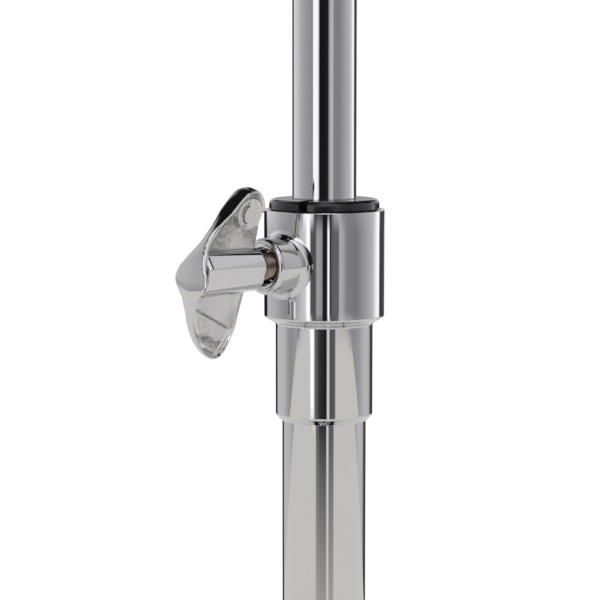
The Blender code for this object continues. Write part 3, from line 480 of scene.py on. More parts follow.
def wrap_grid(tree, mesh, radius, v, height):
    """Rolls the grid up about Z with a radius and a height for each point, and closes its seam."""
    angle = times(tree, v, 2.0 * math.pi)
    x = times(tree, radius, maths(tree, "COSINE", angle))
    y = times(tree, radius, maths(tree, "SINE", angle))
    point = new_node(tree, "ShaderNodeCombineXYZ", X=x, Y=y, Z=height).outputs["Vector"]
    rolled = new_node(tree, "GeometryNodeSetPosition", Geometry=mesh, Position=point).outputs["Geometry"]
    return new_node(tree, "GeometryNodeMergeByDistance", Geometry=rolled, Distance=1e-6).outputs["Geometry"]


def both_ways(tree, value):
    """Turns 0 to 1 into a distance from the middle, from 1 at both ends to 0."""
    return maths(tree, "ABSOLUTE", minus(tree, times(tree, value, 2.0), 1.0))


# Shares of a rod's length that fold into its flat ends, and of its pitch that is flat at root and crest
ROD_FOLD, ROD_TIP, THREAD_FLAT = 0.003, 0.001, 0.12
WHOLE_TURNS = 8.0


def threaded_rod_tree():
    """A rod along Z from 0, with one helical thread and flat ends."""
    tree, given, made = geometry_tree(
        "threaded_rod", Length=0.02, Radius=0.004, Pitch=0.00125, Depth=0.0007, Lead=0.0012, Rows=160)
    mesh, u, v = turned_grid(tree, given["Rows"], sides=48)
    height = times(tree, spread(tree, u, ROD_FOLD, 1.0 - ROD_FOLD), given["Length"])
    turns = maths(tree, "DIVIDE", height, given["Pitch"])
    phase = maths(tree, "FRACT", plus(tree, minus(tree, turns, v), WHOLE_TURNS))
    ridge = spread(tree, both_ways(tree, phase), THREAD_FLAT, 1.0 - THREAD_FLAT)
    lead_in = maths(tree, "MINIMUM", spread(tree, height, 0.0, given["Lead"]), ridge)
    groove = times(tree, minus(tree, 1.0, lead_in), given["Depth"])
    past_start = maths(tree, "GREATER_THAN", u, ROD_TIP)
    before_end = maths(tree, "LESS_THAN", u, 1.0 - ROD_TIP)
    radius = times(tree, minus(tree, given["Radius"], groove), times(tree, past_start, before_end))
    return finish_tree(tree, wrap_grid(tree, mesh, radius, v, height), given, made)


def drawn_tube_tree():
    """A tube along Z from 0 with rounded lips, swept from its wall's section."""
    tree, given, made = geometry_tree(
        "drawn_tube", Length=0.2, Outer_Radius=0.01, Wall=0.0015, Lip=0.0004, Sides=128)
    section = new_node(tree, "GeometryNodeCurvePrimitiveQuadrilateral", Width=given["Wall"],
                       Height=given["Length"]).outputs["Curve"]
    lips = new_node(tree, "GeometryNodeFilletCurve", Curve=section, Radius=given["Lip"], Limit_Radius=True)
    lips.mode = "POLY"
    middle = minus(tree, given["Outer Radius"], times(tree, given["Wall"], 0.5))
    path = new_node(tree, "GeometryNodeCurvePrimitiveCircle", Resolution=given["Sides"], Radius=middle)
    skin = new_node(tree, "GeometryNodeCurveToMesh", Curve=path.outputs["Curve"],
                    Profile_Curve=lips.outputs["Curve"]).outputs["Mesh"]
    offset = new_node(tree, "ShaderNodeCombineXYZ", Z=times(tree, given["Length"], 0.5)).outputs["Vector"]
    raised = new_node(tree, "GeometryNodeTransform", Geometry=skin, Translation=offset)
    return finish_tree(tree, raised.outputs["Geometry"], given, made)


# Shares of the knob's outline at which its bore, lower face, rim and upper face end
KNOB_BANDS = (0.05, 0.25, 0.75, 0.95)


def fluted_knob_tree():
    """A knob along Z from 0 with flutes round its rim, a flat top and a plain bore."""
    tree, given, made = geometry_tree(
        "fluted_knob", Height=0.012, Radius=0.017, Bore=0.0053, Flutes=10.0, Flute_Depth=0.001, Edge=0.0016)
    bore, under, rim_end, top = KNOB_BANDS
    mesh, u, v = turned_grid(tree, rows=61, sides=200)
    wave = maths(tree, "SINE", times(tree, times(tree, v, given["Flutes"]), math.pi))
    flute = times(tree, minus(tree, 1.0, maths(tree, "ABSOLUTE", wave)), given["Flute Depth"])
    rim = minus(tree, given["Radius"], flute)
    reach = maths(tree, "MINIMUM", spread(tree, u, bore, under), spread(tree, u, rim_end, top, 1.0, 0.0))
    radius = spread(tree, reach, 0.0, 1.0, given["Bore"], rim)
    low = spread(tree, u, 0.0, bore, 0.5, 0.0)
    rise = spread(tree, u, under, rim_end)
    fall = spread(tree, u, top, 1.0, 0.0, 0.5)
    height = times(tree, minus(tree, plus(tree, low, rise), fall), given["Height"])
    ease = times(tree, maths(tree, "POWER", both_ways(tree, rise), 6.0), given["Edge"])
    ease = times(tree, ease, maths(tree, "GREATER_THAN", reach, 0.5))
    return finish_tree(tree, wrap_grid(tree, mesh, minus(tree, radius, ease), v, height), given, made)


def grow_piece(tree, node, ending, material, matrix, smooth_angle, **inputs):
    """Runs a tree with its named inputs and stands the plain mesh in a node's place."""
    holder = linked(bpy.data.meshes.new("seed"), "seed")
    modifier = holder.modifiers.new("grow", "NODES")
    modifier.node_group = tree
    sockets = {item.name: item.identifier for item in tree.interface.items_tree if item.in_out == "INPUT"}
    modifier[sockets["Material"]] = material
    for label, value in inputs.items():
        modifier[sockets[label.replace("_", " ")]] = value
    mesh = settled(holder, node + "_" + ending)
    mesh.transform(matrix)
    with edited(mesh) as shape:
        bmesh.ops.remove_doubles(shape, verts=shape.verts, dist=1e-7)
        face_outward(shape)
    smooth_but_sharp(mesh, smooth_angle)
    finish_piece(mesh, node, ending, material)


ROD_TREE = threaded_rod_tree()
TUBE_TREE = drawn_tube_tree()
KNOB_TREE = fluted_knob_tree()
TUBE_WALL = 1.5 * MM
SHANK_R, SHANK_PITCH, SHANK_DEPTH = 4.0 * MM, 1.25 * MM, 0.7 * MM
STEM_PITCH, STEM_DEPTH = 1.5 * MM, 0.8 * MM


def build_tubes():
    for node in ("lower_tube", "upper_tube"):
        low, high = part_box(node)
        grow_piece(TUBE_TREE, node, "drawn", TUBE_CHROME, on_post(low.z), smooth_angle=40.0,
                   Length=high.z - low.z, Outer_Radius=(high.y - low.y) / 2.0, Wall=TUBE_WALL, Lip=0.5 * MM,
                   Sides=160)


def build_threads():
    to_axis = Matrix.Rotation(math.radians(90.0), 4, "Y")
    for screw, turn in WING_TURNS.items():
        node = screw + "_shank"
        place = hinge_frame(screw + "_turn", turn)
        start, end = along_axis(node, place)
        matrix = place @ Matrix.Translation((start, 0.0, 0.0)) @ to_axis
        grow_piece(ROD_TREE, node, "threaded", THREAD_STEEL, matrix, smooth_angle=50.0,
                   Length=end - start, Radius=SHANK_R, Pitch=SHANK_PITCH, Depth=SHANK_DEPTH,
                   Rows=int((end - start) / (0.125 * MM)))
    low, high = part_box("basket_stem")
    grow_piece(ROD_TREE, "basket_stem", "threaded", PIN_STEEL, on_post(low.z), smooth_angle=50.0,
               Length=high.z - low.z, Radius=(high.y - low.y) / 2.0, Pitch=STEM_PITCH, Depth=STEM_DEPTH,
               Rows=int((high.z - low.z) / (0.19 * MM)))


def build_knob():
    low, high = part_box("basket_nut")
    grow_piece(KNOB_TREE, "basket_nut", "fluted", KNOB_NYLON, on_post(low.z), smooth_angle=35.0,
               Height=high.z - low.z, Radius=(high.x - low.x) / 2.0, Bore=5.3 * MM, Flutes=10.0,
               Flute_Depth=1.3 * MM, Edge=1.2 * MM)


# Height clamp: z is 0 at the collar's top

COLLAR_R, EDGE_DROP, UNDER, SLEEVE_R = 17.8 * MM, 31.6 * MM, 2.1 * MM, 14.4 * MM
SLEEVE_H, CHAMFER = 27.2 * MM, 1.8 * MM
COLLAR_BORE_R, SLEEVE_BORE_R, SHOULDER = 14.2 * MM, 12.6 * MM, 32.4 * MM
SLOT_HALF, SLOT_TOP, SLOT_LOW, SLOT_AZIMUTH = 1.1 * MM, 6.5 * MM, 0.5 * MM, 148.0


def collar_outline():
    sleeve_top = -EDGE_DROP - UNDER
    sleeve_low = sleeve_top - SLEEVE_H
    foot = sleeve_low - CHAMFER
    notch = [(r * MM, -EDGE_DROP - drop * MM) for r, drop in ((16.25, 0.95), (15.95, 0.9), (15.85, 1.2))]
    return [(COLLAR_BORE_R, 0.0), (COLLAR_R, 0.0), (COLLAR_R, -EDGE_DROP), *notch, (SLEEVE_R, sleeve_top),
            (SLEEVE_R, sleeve_low), (SLEEVE_R - CHAMFER + 0.3 * MM, foot), (SLEEVE_BORE_R, foot),
            (SLEEVE_BORE_R, -SHOULDER), (COLLAR_BORE_R, -SHOULDER)]


def slot_cutter():
    slot = bmesh.new()
    top, low = SLOT_TOP - EDGE_DROP, SLOT_LOW - EDGE_DROP
    points = [(-SLOT_HALF, low), (SLOT_HALF, low)] + arc(0.0, top - SLOT_HALF, SLOT_HALF, 0.0, 180.0, 14)
    face = slot.faces.new([slot.verts.new((x, COLLAR_R - 2.0 * MM, z)) for x, z in points])
    deeper = bmesh.ops.extrude_face_region(slot, geom=[face])
    moving = [v for v in deeper["geom"] if isinstance(v, bmesh.types.BMVert)]
    bmesh.ops.translate(slot, verts=moving, vec=(0.0, 4.0 * MM, 0.0))
    slot.transform(Matrix.Rotation(math.radians(SLOT_AZIMUTH), 4, "Z"))
    return linked(mesh_from(slot, "slot"), "slot")


def build_clamp_collar():
    """Turned collar and sleeve with eased edges, the boss blended onto it, and the small slot."""
    turned = lathe(rounded(collar_outline(), radius=0.4 * MM, steps=5), sides=192)
    body = linked(mesh_from(turned, "clamp_collar_turned", smooth_angle=50.0), "clamp_collar_turned")
    slot = slot_cutter()
    cutter = body.modifiers.new("slot", "BOOLEAN")
    cutter.operation = "DIFFERENCE"
    cutter.solver = "EXACT"
    cutter.object = slot
    mesh = settled(body, "clamp_collar_plated")
    bpy.data.objects.remove(slot)
    mesh.transform(on_post(COLLAR_TOP))

    boss = boss_shell()
    boss.transform(hinge_frame("clamp_wing_turn"))
    joined = bpy.data.meshes.new("boss")
    boss.to_mesh(joined)
    boss.free()
    with edited(mesh) as shape:
        shape.from_mesh(joined)
        face_outward(shape)
    finish_piece(true_flats(mesh, smooth_angle=38.0), "clamp_collar", "plated", TUBE_CHROME)


BOSS_REACH, BOSS_LIP, BOSS_RIM, BOSS_R, BOSS_FOOT_R = 24.5 * MM, 1.2 * MM, 1.3 * MM, 8.2 * MM, 10.3 * MM
BOSS_HOLE_R, BOSS_MOUTH_R, MOUTH_DEPTH, HOLE_DEPTH = 4.3 * MM, 5.4 * MM, 3.6 * MM, 10.5 * MM
BOSS_SIDES = 144


def curved(t, a, b, c):
    """A quadratic curve from a to c, drawn toward b."""
    return (1 - t) ** 2 * a + 2 * t * (1 - t) * b + t * t * c


def boss_column(across):
    """One side of the boss, from its foot in the collar to the end of its hole, as (radius, along) points."""
    def on_collar(radius, sink):
        return math.sqrt((COLLAR_R - sink) ** 2 - (radius * across) ** 2) - BOSS_REACH

    foot = on_collar(BOSS_FOOT_R, 0.03 * MM)
    knee = on_collar(BOSS_R, 0.0) + 0.25 * MM
    top = knee + 1.9 * MM
    column = [(0.6 * BOSS_FOOT_R, on_collar(0.6 * BOSS_FOOT_R, 1.2 * MM)), (BOSS_FOOT_R, foot)]
    column += [(curved(t, BOSS_FOOT_R, BOSS_R, BOSS_R), curved(t, foot, knee, top))
               for t in [k / 10.0 for k in range(1, 11)]]
    column += arc(BOSS_R - BOSS_RIM, BOSS_LIP - BOSS_RIM, BOSS_RIM, 0.0, 90.0, 9)
    return column + [(BOSS_MOUTH_R + 0.4 * MM, BOSS_LIP), (BOSS_MOUTH_R + 0.15 * MM, BOSS_LIP - 0.3 * MM),
                     (BOSS_MOUTH_R, -MOUTH_DEPTH), (BOSS_HOLE_R, -MOUTH_DEPTH - 0.1 * MM),
                     (BOSS_HOLE_R, -HOLE_DEPTH)]


def boss_shell():
    """Boss along X with its mouth near X = 0; its foot flares out and meets the collar's round side."""
    shape = bmesh.new()
    rings = []
    for i in range(BOSS_SIDES):
        angle = 2.0 * math.pi * i / BOSS_SIDES
        c, s = math.cos(angle), math.sin(angle)
        rings.append([shape.verts.new((x, r * c, r * s)) for r, x in boss_column(c)])
    for i in range(BOSS_SIDES):
        band_of_faces(shape, rings[i], rings[(i + 1) % BOSS_SIDES])
    return shape


def build_clamp_bush():
    """Split nylon bush with a rounded flange over the collar's top."""
    inner, outer, flange, height = 9.65 * MM, 14.1 * MM, 16.3 * MM, 3.15 * MM
    seat, low, round_r, ease = 0.15 * MM, -32.1 * MM, 1.7 * MM, 0.4 * MM
    slit, slit_azimuth = 2.2 * MM, math.radians(247.0)
    profile = [(inner, low), (outer, low), (outer, seat), (flange - ease / 2.0, seat),
               (flange, seat + ease / 2.0), *arc(flange - round_r, height - round_r, round_r, 0.0, 90.0, 10),
               (inner + ease, height), (inner, height - ease)]
    half = math.asin(slit / (inner + flange))
    shape = lathe(profile, 150, slit_azimuth + half, 2.0 * math.pi - 2.0 * half)
    shape.transform(on_post(COLLAR_TOP))
    mesh = mesh_from(shape, "clamp_bush_moulded", smooth_angle=35.0)
    finish_piece(mesh, "clamp_bush", "moulded", NYLON)


# Cast wing handle in mm, along +X away from the post; its upper wing is at +Z and its visible side is +Y

UPPER_EDGE = [(25.5, -2.5), (25.5, 0.0), (25.45, 2.0), (25.15, 3.8), (24.6, 5.2), (23.7, 7.0),
              (22.9, 8.4), (21.7, 10.4), (20.5, 12.3), (19.2, 14.2), (17.9, 16.0), (16.4, 17.9),
              (14.9, 19.8), (13.4, 21.5), (12.0, 22.9), (10.6, 23.9), (9.1, 24.4), (7.5, 24.3),
              (6.0, 23.6), (4.8, 22.2), (3.8, 20.5), (3.2, 18.7), (2.9, 17.0), (2.8, 15.2)]
UPPER_BACK = [(2.6, 12.0), (2.7, 8.0), (2.8, -2.5)]
UPPER_WIDTH = [(-2.5, 6.9), (-1.5, 6.7), (0.5, 6.0), (2.0, 5.1), (3.4, 4.3), (5.0, 3.5), (6.5, 2.7),
               (8.0, 2.15), (10.0, 1.8), (13.0, 1.75), (15.0, 2.0), (17.5, 2.6), (24.0, 2.8)]
LOWER_EDGE = [(25.45, -2.0), (25.5, 0.0), (25.6, 3.0), (25.65, 5.0), (25.55, 6.6), (25.1, 8.2),
              (24.5, 10.5), (24.0, 13.0), (23.2, 15.8), (21.9, 18.4), (20.1, 21.0), (17.9, 23.5),
              (15.5, 25.5), (13.3, 26.7), (11.3, 27.0), (9.5, 26.2), (8.1, 24.6), (7.0, 22.3),
              (6.3, 19.8)]
LOWER_BACK = [(5.9, 17.2), (5.5, 13.0), (5.1, 9.6), (4.7, 6.0), (4.4, -2.0)]
LOWER_WIDTH = [(-3.4, 4.3), (-2.0, 5.1), (-0.5, 6.0), (1.5, 6.7), (3.0, 6.9), (4.5, 6.3), (5.5, 5.5),
               (6.65, 4.6), (8.1, 3.5), (10.4, 2.9), (13.0, 2.0), (16.4, 1.6), (27.0, 1.4)]
HUB_FRONT, HUB_END, HUB_FRONT_R, HUB_END_R = 1.9, 25.0, 6.15, 6.5
HUB_FLATS = ((math.radians(46.0), 6.0), (math.radians(-2.0), 5.75))
SCREW_BORE_R, SCREW_BORE_END = 4.15, 17.2
BUTTON, BUTTON_R, BUTTON_TOP, BUTTON_SLOPE = (9.1, 17.2), 4.8, 3.05, 0.07
GROOVE_FROM, GROOVE_TO, GROOVE_SHIFT = 2.7, 4.0, (0.5, 0.2)
PAD_RIM, PAD_SLOPE = 0.5, 2.9
LIP_REACH, LIP_WIDTH = 0.8, 1.25
FOLD_AT, FOLD_ACROSS, FOLD_STEP = (20.5, 11.6), (0.44, 0.90), 0.8
PEAK, PEAK_SLOPES = (12.4, 22.6), (0.32, -0.12, 0.27)
PLAN_STEP, PLAN_START, PLAN_CELLS = 0.15, -4.0, 228
CURVE_STEP, CURVE_REACH, CURVE_SOFTNESS = 0.3, 10, 3.5
HANDLE_LOW, HANDLE_HIGH = (1.2, -8.0, -28.6), (27.8, 8.0, 25.6)


def smooth(t):
    t = np.clip(t, 0.0, 1.0)
    return t * t * (3.0 - 2.0 * t)


def blend_max(a, b, k):
    """The larger of two distances, with the corner between them rounded off."""
    h = np.maximum(k - np.abs(a - b), 0.0) / k
    return np.maximum(a, b) + h * h * k * 0.25


def blend_min(a, b, k):
    return -blend_max(-a, -b, k)


def drawn_curve(points):
    """A run of straight pieces smoothed into an even curve with the same ends."""
    points = np.array(points)
    along = np.concatenate([[0.0], np.cumsum(np.linalg.norm(np.diff(points, axis=0), axis=1))])
    even = np.linspace(0.0, along[-1], int(along[-1] / CURVE_STEP) + 2)
    curve = np.stack([np.interp(even, along, points[:, k]) for k in (0, 1)], 1)
    weights = np.exp(-0.5 * (np.arange(-CURVE_REACH, CURVE_REACH + 1) / CURVE_SOFTNESS) ** 2)
    before = 2.0 * curve[0] - curve[CURVE_REACH:0:-1]
    after = 2.0 * curve[-1] - curve[-2:-CURVE_REACH - 2:-1]
    padded = np.concatenate([before, curve, after])
    return np.stack([np.convolve(padded[:, k], weights / weights.sum(), "valid") for k in (0, 1)], 1)


def to_line(points, x, z):
    """Distance from each point to a run of straight pieces."""
    best = np.full(np.broadcast(x, z).shape, 1e9)
    for (x0, z0), (x1, z1) in zip(points, points[1:]):
        dx, dz = x1 - x0, z1 - z0
        t = np.clip(((x - x0) * dx + (z - z0) * dz) / (dx * dx + dz * dz), 0.0, 1.0)
        best = np.minimum(best, np.hypot(x - x0 - t * dx, z - z0 - t * dz))
    return best


def within(points, x, z):
    inside = np.zeros(np.broadcast(x, z).shape, bool)
    for (x0, z0), (x1, z1) in zip(points, np.roll(points, -1, axis=0)):
        if z0 == z1:
            continue
        crossing = (z0 > z) != (z1 > z)
        inside ^= crossing & (x < (x1 - x0) * (z - z0) / (z1 - z0) + x0)
    return inside


def plan_tables(edge_points, back_points):
    """One wing's plan on a grid: signed distance to its outline, and to its edge and its inner side."""
    edge_line, back_line = drawn_curve(edge_points), np.array(back_points)
    spots = PLAN_START + PLAN_STEP * np.arange(PLAN_CELLS)
    x, z = spots[:, None], spots[None, :]
    edge = to_line(edge_line, x, z)
    inner = to_line(np.concatenate([edge_line[-1:], back_line]), x, z)
    rim = np.minimum(edge, inner)
    plan = np.where(within(np.concatenate([edge_line, back_line]), x, z), -rim, rim)
    return plan, edge, inner


def looked_up(table, x, z):
    """Reads a plan grid anywhere with a smooth cubic blend."""
    cells, blends = [], []
    for value in (x, z):
        place = np.clip((value - PLAN_START) / PLAN_STEP, 1.0, PLAN_CELLS - 3.001)
        cell = np.floor(place).astype(int)
        t = place - cell
        cells.append(cell)
        blends.append(((1.0 - t) ** 3 / 6.0, (3.0 * t ** 3 - 6.0 * t ** 2 + 4.0) / 6.0,
                       (-3.0 * t ** 3 + 3.0 * t ** 2 + 3.0 * t + 1.0) / 6.0, t ** 3 / 6.0))
    return sum(blends[0][i] * blends[1][j] * table[cells[0] + i - 1, cells[1] + j - 1]
               for i in range(4) for j in range(4))


def padded_face(x, z, edge, width, web):
    """A face with a raised edge that slopes down to a flat web, and a round thumb button near the tip."""
    crest = width + 0.05
    inner_corner = smooth((5.5 - x) / 2.0) * smooth((18.5 - z) / 3.5)
    near = smooth((PAD_RIM + PAD_SLOPE - edge) / PAD_SLOPE) ** 1.4 * (1.0 - inner_corner)
    face = web + (crest - web) * near
    bx, bz = x - BUTTON[0], z - BUTTON[1]
    out = np.hypot(bx, bz)
    dimple = 0.16 * np.exp(-(out / 0.45) ** 2)
    top = BUTTON_TOP - BUTTON_SLOPE * out - dimple
    from_groove = np.hypot(bx + GROOVE_SHIFT[0], bz + GROOVE_SHIFT[1])
    ring = smooth((from_groove - GROOVE_FROM) / 0.25) * smooth((GROOVE_TO - out) / 0.25)
    top = top - ring * smooth((bx - 0.4) / 0.6)
    return np.maximum(face, web + (top - web) * smooth((BUTTON_R - out) / 0.30))


def scooped_face(x, z, edge, inner, width, floor):
    """A thin lip round a scoop, with a fold across it and two facets that meet in a ridge near the tip."""
    rim, px, pz = np.minimum(edge, inner), x - PEAK[0], z - PEAK[1]
    by_tip = smooth((z - 18.0) / 4.5)
    bowl = floor + 0.45 * smooth((5.0 - rim) / 5.0) * (1.0 - by_tip)
    bowl = bowl - by_tip * (0.3 + 0.24 * np.clip(px, 0.0, 4.0))
    fold = (z - FOLD_AT[1]) * FOLD_ACROSS[1] - (FOLD_AT[0] - x) * FOLD_ACROSS[0]
    bowl = bowl + FOLD_STEP * smooth((0.7 - fold) / 1.3) * smooth((x - 5.5) / 5.0)
    ridge = blend_max(PEAK_SLOPES[0] * px, PEAK_SLOPES[1] * px, 0.08)
    facets = floor - 0.3 + PEAK_SLOPES[2] * pz - ridge
    bowl = np.maximum(np.maximum(bowl, facets), floor - 0.7 - 0.55 * by_tip)
    outer = smooth((x - 8.0) / 4.0)
    reach, lip = LIP_REACH + 0.6 * outer, LIP_WIDTH + (width - LIP_WIDTH) * outer
    return bowl + np.maximum(lip - bowl, 0.0) * smooth((reach - rim) / (0.8 * reach))


def wing_field(x, y, z, tables, widths, upper):
    """How far each point is outside one wing, and in its satin web, whose colour the finish also darkens with
    painted shade; z grows from the hub to the tip.
    """
    plan, edge, inner = (looked_up(table, x, z) for table in tables)
    width = np.interp(z, *zip(*widths))
    if upper:
        pad_floor, scoop_floor, crown, soft_to = 0.35, 0.65, 0.25, 15.0
    else:
        pad_floor, scoop_floor = 1.4 + 0.6 * smooth((z - 17.0) / 4.0), 0.25
        crown, soft_to = 0.25 + 0.2 * smooth((z - 4.0) / 5.0), 8.0
    pad = padded_face(x, z, edge, width, pad_floor)
    scoop = scooped_face(x, z, edge, inner, width, scoop_floor)
    front, back = (pad, scoop) if upper else (scoop, pad)
    by_edge = smooth((inner - edge + 2.0) / 3.0)
    plan = plan + crown * np.minimum(np.abs(y) / np.maximum(width, 1.0), 1.2) ** 2 * by_edge
    soft = 0.4 + 1.1 * smooth((soft_to - z) / 4.0) * by_edge
    body = blend_max(plan, (y - front) * 0.85, np.where(y > 0.0, soft, 0.5))
    web = smooth((edge - 2.2) / 0.8) * (1.0 - 0.6 * smooth((edge - 4.5) / 6.0))
    if upper:
        from_button = np.hypot(x - BUTTON[0], z - BUTTON[1])
        web = web * (1.0 - 0.75 * smooth((BUTTON_R + 0.2 - from_button) / 0.4))
    return blend_max(body, (-y - back) * 0.85, 0.8), web


def hub_field(x, y, z):
    """The round hub with flats along it; the wings' joined edges make its cap."""
    along = np.clip((x - HUB_FRONT) / (HUB_END - HUB_FRONT), 0.0, 1.0)
    body = np.hypot(y, np.where(z < 0.0, 0.93, 1.0) * z) - (HUB_FRONT_R + (HUB_END_R - HUB_FRONT_R) * along)
    for lean, depth in HUB_FLATS:
        body = blend_max(body, np.abs(y * math.cos(lean) + z * math.sin(lean)) - depth, 0.18)
    return blend_max(blend_max(body, x - HUB_END + 1.25, 1.5), HUB_FRONT - x, 0.6)


UPPER_PLAN = plan_tables(UPPER_EDGE, UPPER_BACK)
LOWER_PLAN = plan_tables(LOWER_EDGE, LOWER_BACK)


def handle_field(x, y, z):
    """Distance outside the whole casting, and how far a point lies in the satin webs, whose colour the finish
    also darkens with painted shade.
    """
    upper, upper_web = wing_field(x, y, z, UPPER_PLAN, UPPER_WIDTH, True)
    lower, lower_web = wing_field(x, y, -z, LOWER_PLAN, LOWER_WIDTH, False)
    web = np.where(z > 0.0, upper_web, lower_web)
    bore = np.maximum(np.hypot(y, z) - SCREW_BORE_R, x - SCREW_BORE_END)
    body = blend_min(np.minimum(upper, lower), hub_field(x, y, z), 0.6)
    cap_fold = (x - 25.55 + 0.17 * (0.55 * y - 6.6 - z)) / 1.02
    return blend_max(blend_max(body, cap_fold, 0.15), -bore, 0.3), web


UNIT = np.eye(3, dtype=int)
OTHER_AXES = ((1, 2), (0, 2), (0, 1))


def block(table, starts, sizes):
    return table[tuple(slice(start, start + size) for start, size in zip(starts, sizes))]


def skin_of(field, low, high, step):
    """A closed quad skin round the inside of a field: one point in each cell that the surface crosses."""
    axes = [np.arange(a, b + step, step) for a, b in zip(low, high)]
    value = field(*np.meshgrid(*axes, indexing="ij", sparse=True))[0]
    cells = tuple(n - 1 for n in value.shape)
    total, count, crossings = np.zeros(cells + (3,)), np.zeros(cells), []
    for axis, (p, q) in enumerate(OTHER_AXES):
        sizes = np.array(value.shape) - UNIT[axis]
        near, far = block(value, (0, 0, 0), sizes), block(value, UNIT[axis], sizes)
        crossed = (near < 0.0) != (far < 0.0)
        share = np.where(crossed, near / np.where(crossed, near - far, 1.0), 0.0)
        crossings.append((crossed, near < 0.0))
        for i, j in ((0, 0), (0, 1), (1, 0), (1, 1)):
            starts = i * UNIT[p] + j * UNIT[q]
            hit = block(crossed, starts, cells)
            count += hit
            total[..., axis] += block(share, starts, cells)
            total[..., p] += i * hit
            total[..., q] += j * hit
    used = count > 0
    number = np.full(cells, -1)
    number[used] = np.arange(used.sum())
    points = np.array(low) + step * (np.argwhere(used) + total[used] / count[used][:, None])
    return points, np.concatenate([quads_across(axis, *crossings[axis], number) for axis in range(3)])


def quads_across(axis, crossed, starts_inside, number):
    """One quad for each grid edge along an axis that the surface crosses, between the four cells round it."""
    p, q = OTHER_AXES[axis]
    spots = np.argwhere(crossed)
    beside = spots[:, (p, q)]
    spots = spots[((beside > 0) & (beside < np.array(number.shape)[[p, q]])).all(1)]
    corners = ((1, 1), (0, 1), (0, 0), (1, 0))
    quads = np.stack([number[tuple((spots - i * UNIT[p] - j * UNIT[q]).T)] for i, j in corners], 1)
    flip = starts_inside[tuple(spots.T)] == (axis == 1)
    quads[flip] = quads[flip][:, ::-1]
    return quads


def steepest(points, reach=0.05):
    """The field's slope at each point."""
    slopes = []
    for shift in reach * np.eye(3):
        ahead, behind = handle_field(*(points + shift).T)[0], handle_field(*(points - shift).T)[0]
        slopes.append((ahead - behind) / (2.0 * reach))
    return np.stack(slopes, 1)


def handle_mesh(step):
    """The casting as a mesh: its points lie on the exact surface, and the surface's slope shades it."""
    points, faces = skin_of(handle_field, HANDLE_LOW, HANDLE_HIGH, step)
    for _ in range(2):
        value, slope = handle_field(*points.T)[0], steepest(points)
        length = np.maximum((slope ** 2).sum(1), 0.2)
        move = -(value / length)[:, None] * slope
        size = np.linalg.norm(move, axis=1)
        points = points + move * np.minimum(1.0, 0.4 * step / np.maximum(size, 1e-9))[:, None]
    web = handle_field(*points.T)[1]
    facing = np.where(points[:, 2] > 0.0, points[:, 1], -points[:, 1]) > 0.0
    mesh = bpy.data.meshes.new("wing_handle")
    mesh.from_pydata((points * MM).tolist(), [], faces.tolist())
    mesh.update()
    # The recess share makes the webs satin and also darkens their colour with painted shade.
    recess = mesh.attributes.new("recess", "FLOAT", "POINT")
    clear_of_hub = smooth((np.abs(points[:, 2]) - 6.2) / 0.4)
    recess.data.foreach_set("value", (web * clear_of_hub * np.where(facing, 1.0, 0.35)).astype(np.float32))
    with edited(mesh) as shape:
        face_outward(shape)
    slope = steepest(points, 0.08)
    mesh.shade_smooth()
    mesh.normals_split_custom_set_from_vertices((slope / np.linalg.norm(slope, axis=1)[:, None]).tolist())
    return mesh


def build_handles():
    fine = handle_mesh(0.24)
    plain = handle_mesh(0.42)
    for screw, turn in WING_TURNS.items():
        node = screw + "_handle"
        place = hinge_frame(screw + "_turn", turn)
        mesh = (fine if screw == "clamp_wing" else plain).copy()
        mesh.transform(place @ Matrix.Translation((along_axis(node, place)[0], 0.0, 0.0)))
        finish_piece(mesh, node, "cast", WING_CHROME)


# The remaining nodes are merged copies with eased edges; each kind has a finish and an edge width

KINDS = {"cast": (CAST_CHROME, 0.5 * MM), "sheet": (SHEET_CHROME, 0.3 * MM), "pin": (PIN_STEEL, 0.25 * MM),
         "rubber": (RUBBER, 0.7 * MM), "nylon": (NYLON, 0.3 * MM), "brass": (BRASS, 0.2 * MM)}


def kind_of(node):
    if node in ("brace_hub", "leg_collar", "tilter_base", "tilter_head", "basket_spider", "basket_yoke"):
        return "cast"
    if node in ("tilter_spacer", "upper_tube_glide"):
        return "nylon"
    if node == "clamp_shoe":
        return "brass"
    if node.startswith("grip_") or node.endswith("_foot") or node == "tube_end_cap":
        return "rubber"
    if node.startswith(("brace_", "link_", "arm_")) or "_strip_" in node:
        return "sheet"
    return "pin"


def ease_node(node, width):
    """A copy of a node's mesh with its facets merged and its edges eased."""
    mesh = NODES[node].data.copy()
    with edited(mesh) as shape:
        bmesh.ops.remove_doubles(shape, verts=shape.verts, dist=2e-6)
        bmesh.ops.dissolve_limit(shape, angle_limit=math.radians(1.0), verts=shape.verts, edges=shape.edges)
    holder = linked(mesh, node + "_holder")
    bevel = holder.modifiers.new("ease", "BEVEL")
    bevel.width = width
    bevel.segments = 2
    bevel.limit_method = "ANGLE"
    bevel.angle_limit = math.radians(32.0)
    bevel.use_clamp_overlap = True
    return true_flats(settled(holder, node + "_finished"), smooth_angle=33.0)


def build_others():
    done = {node for obj in bpy.context.scene.objects for node in obj.get("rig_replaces", [])}
    for node in sorted(set(NODES) - done):
        material, width = KINDS[kind_of(node)]
        finish_piece(ease_node(node, width), node, "finished", material)


# Floor, light and camera; the studio is in degrees: azimuth from the camera's side, rise from level

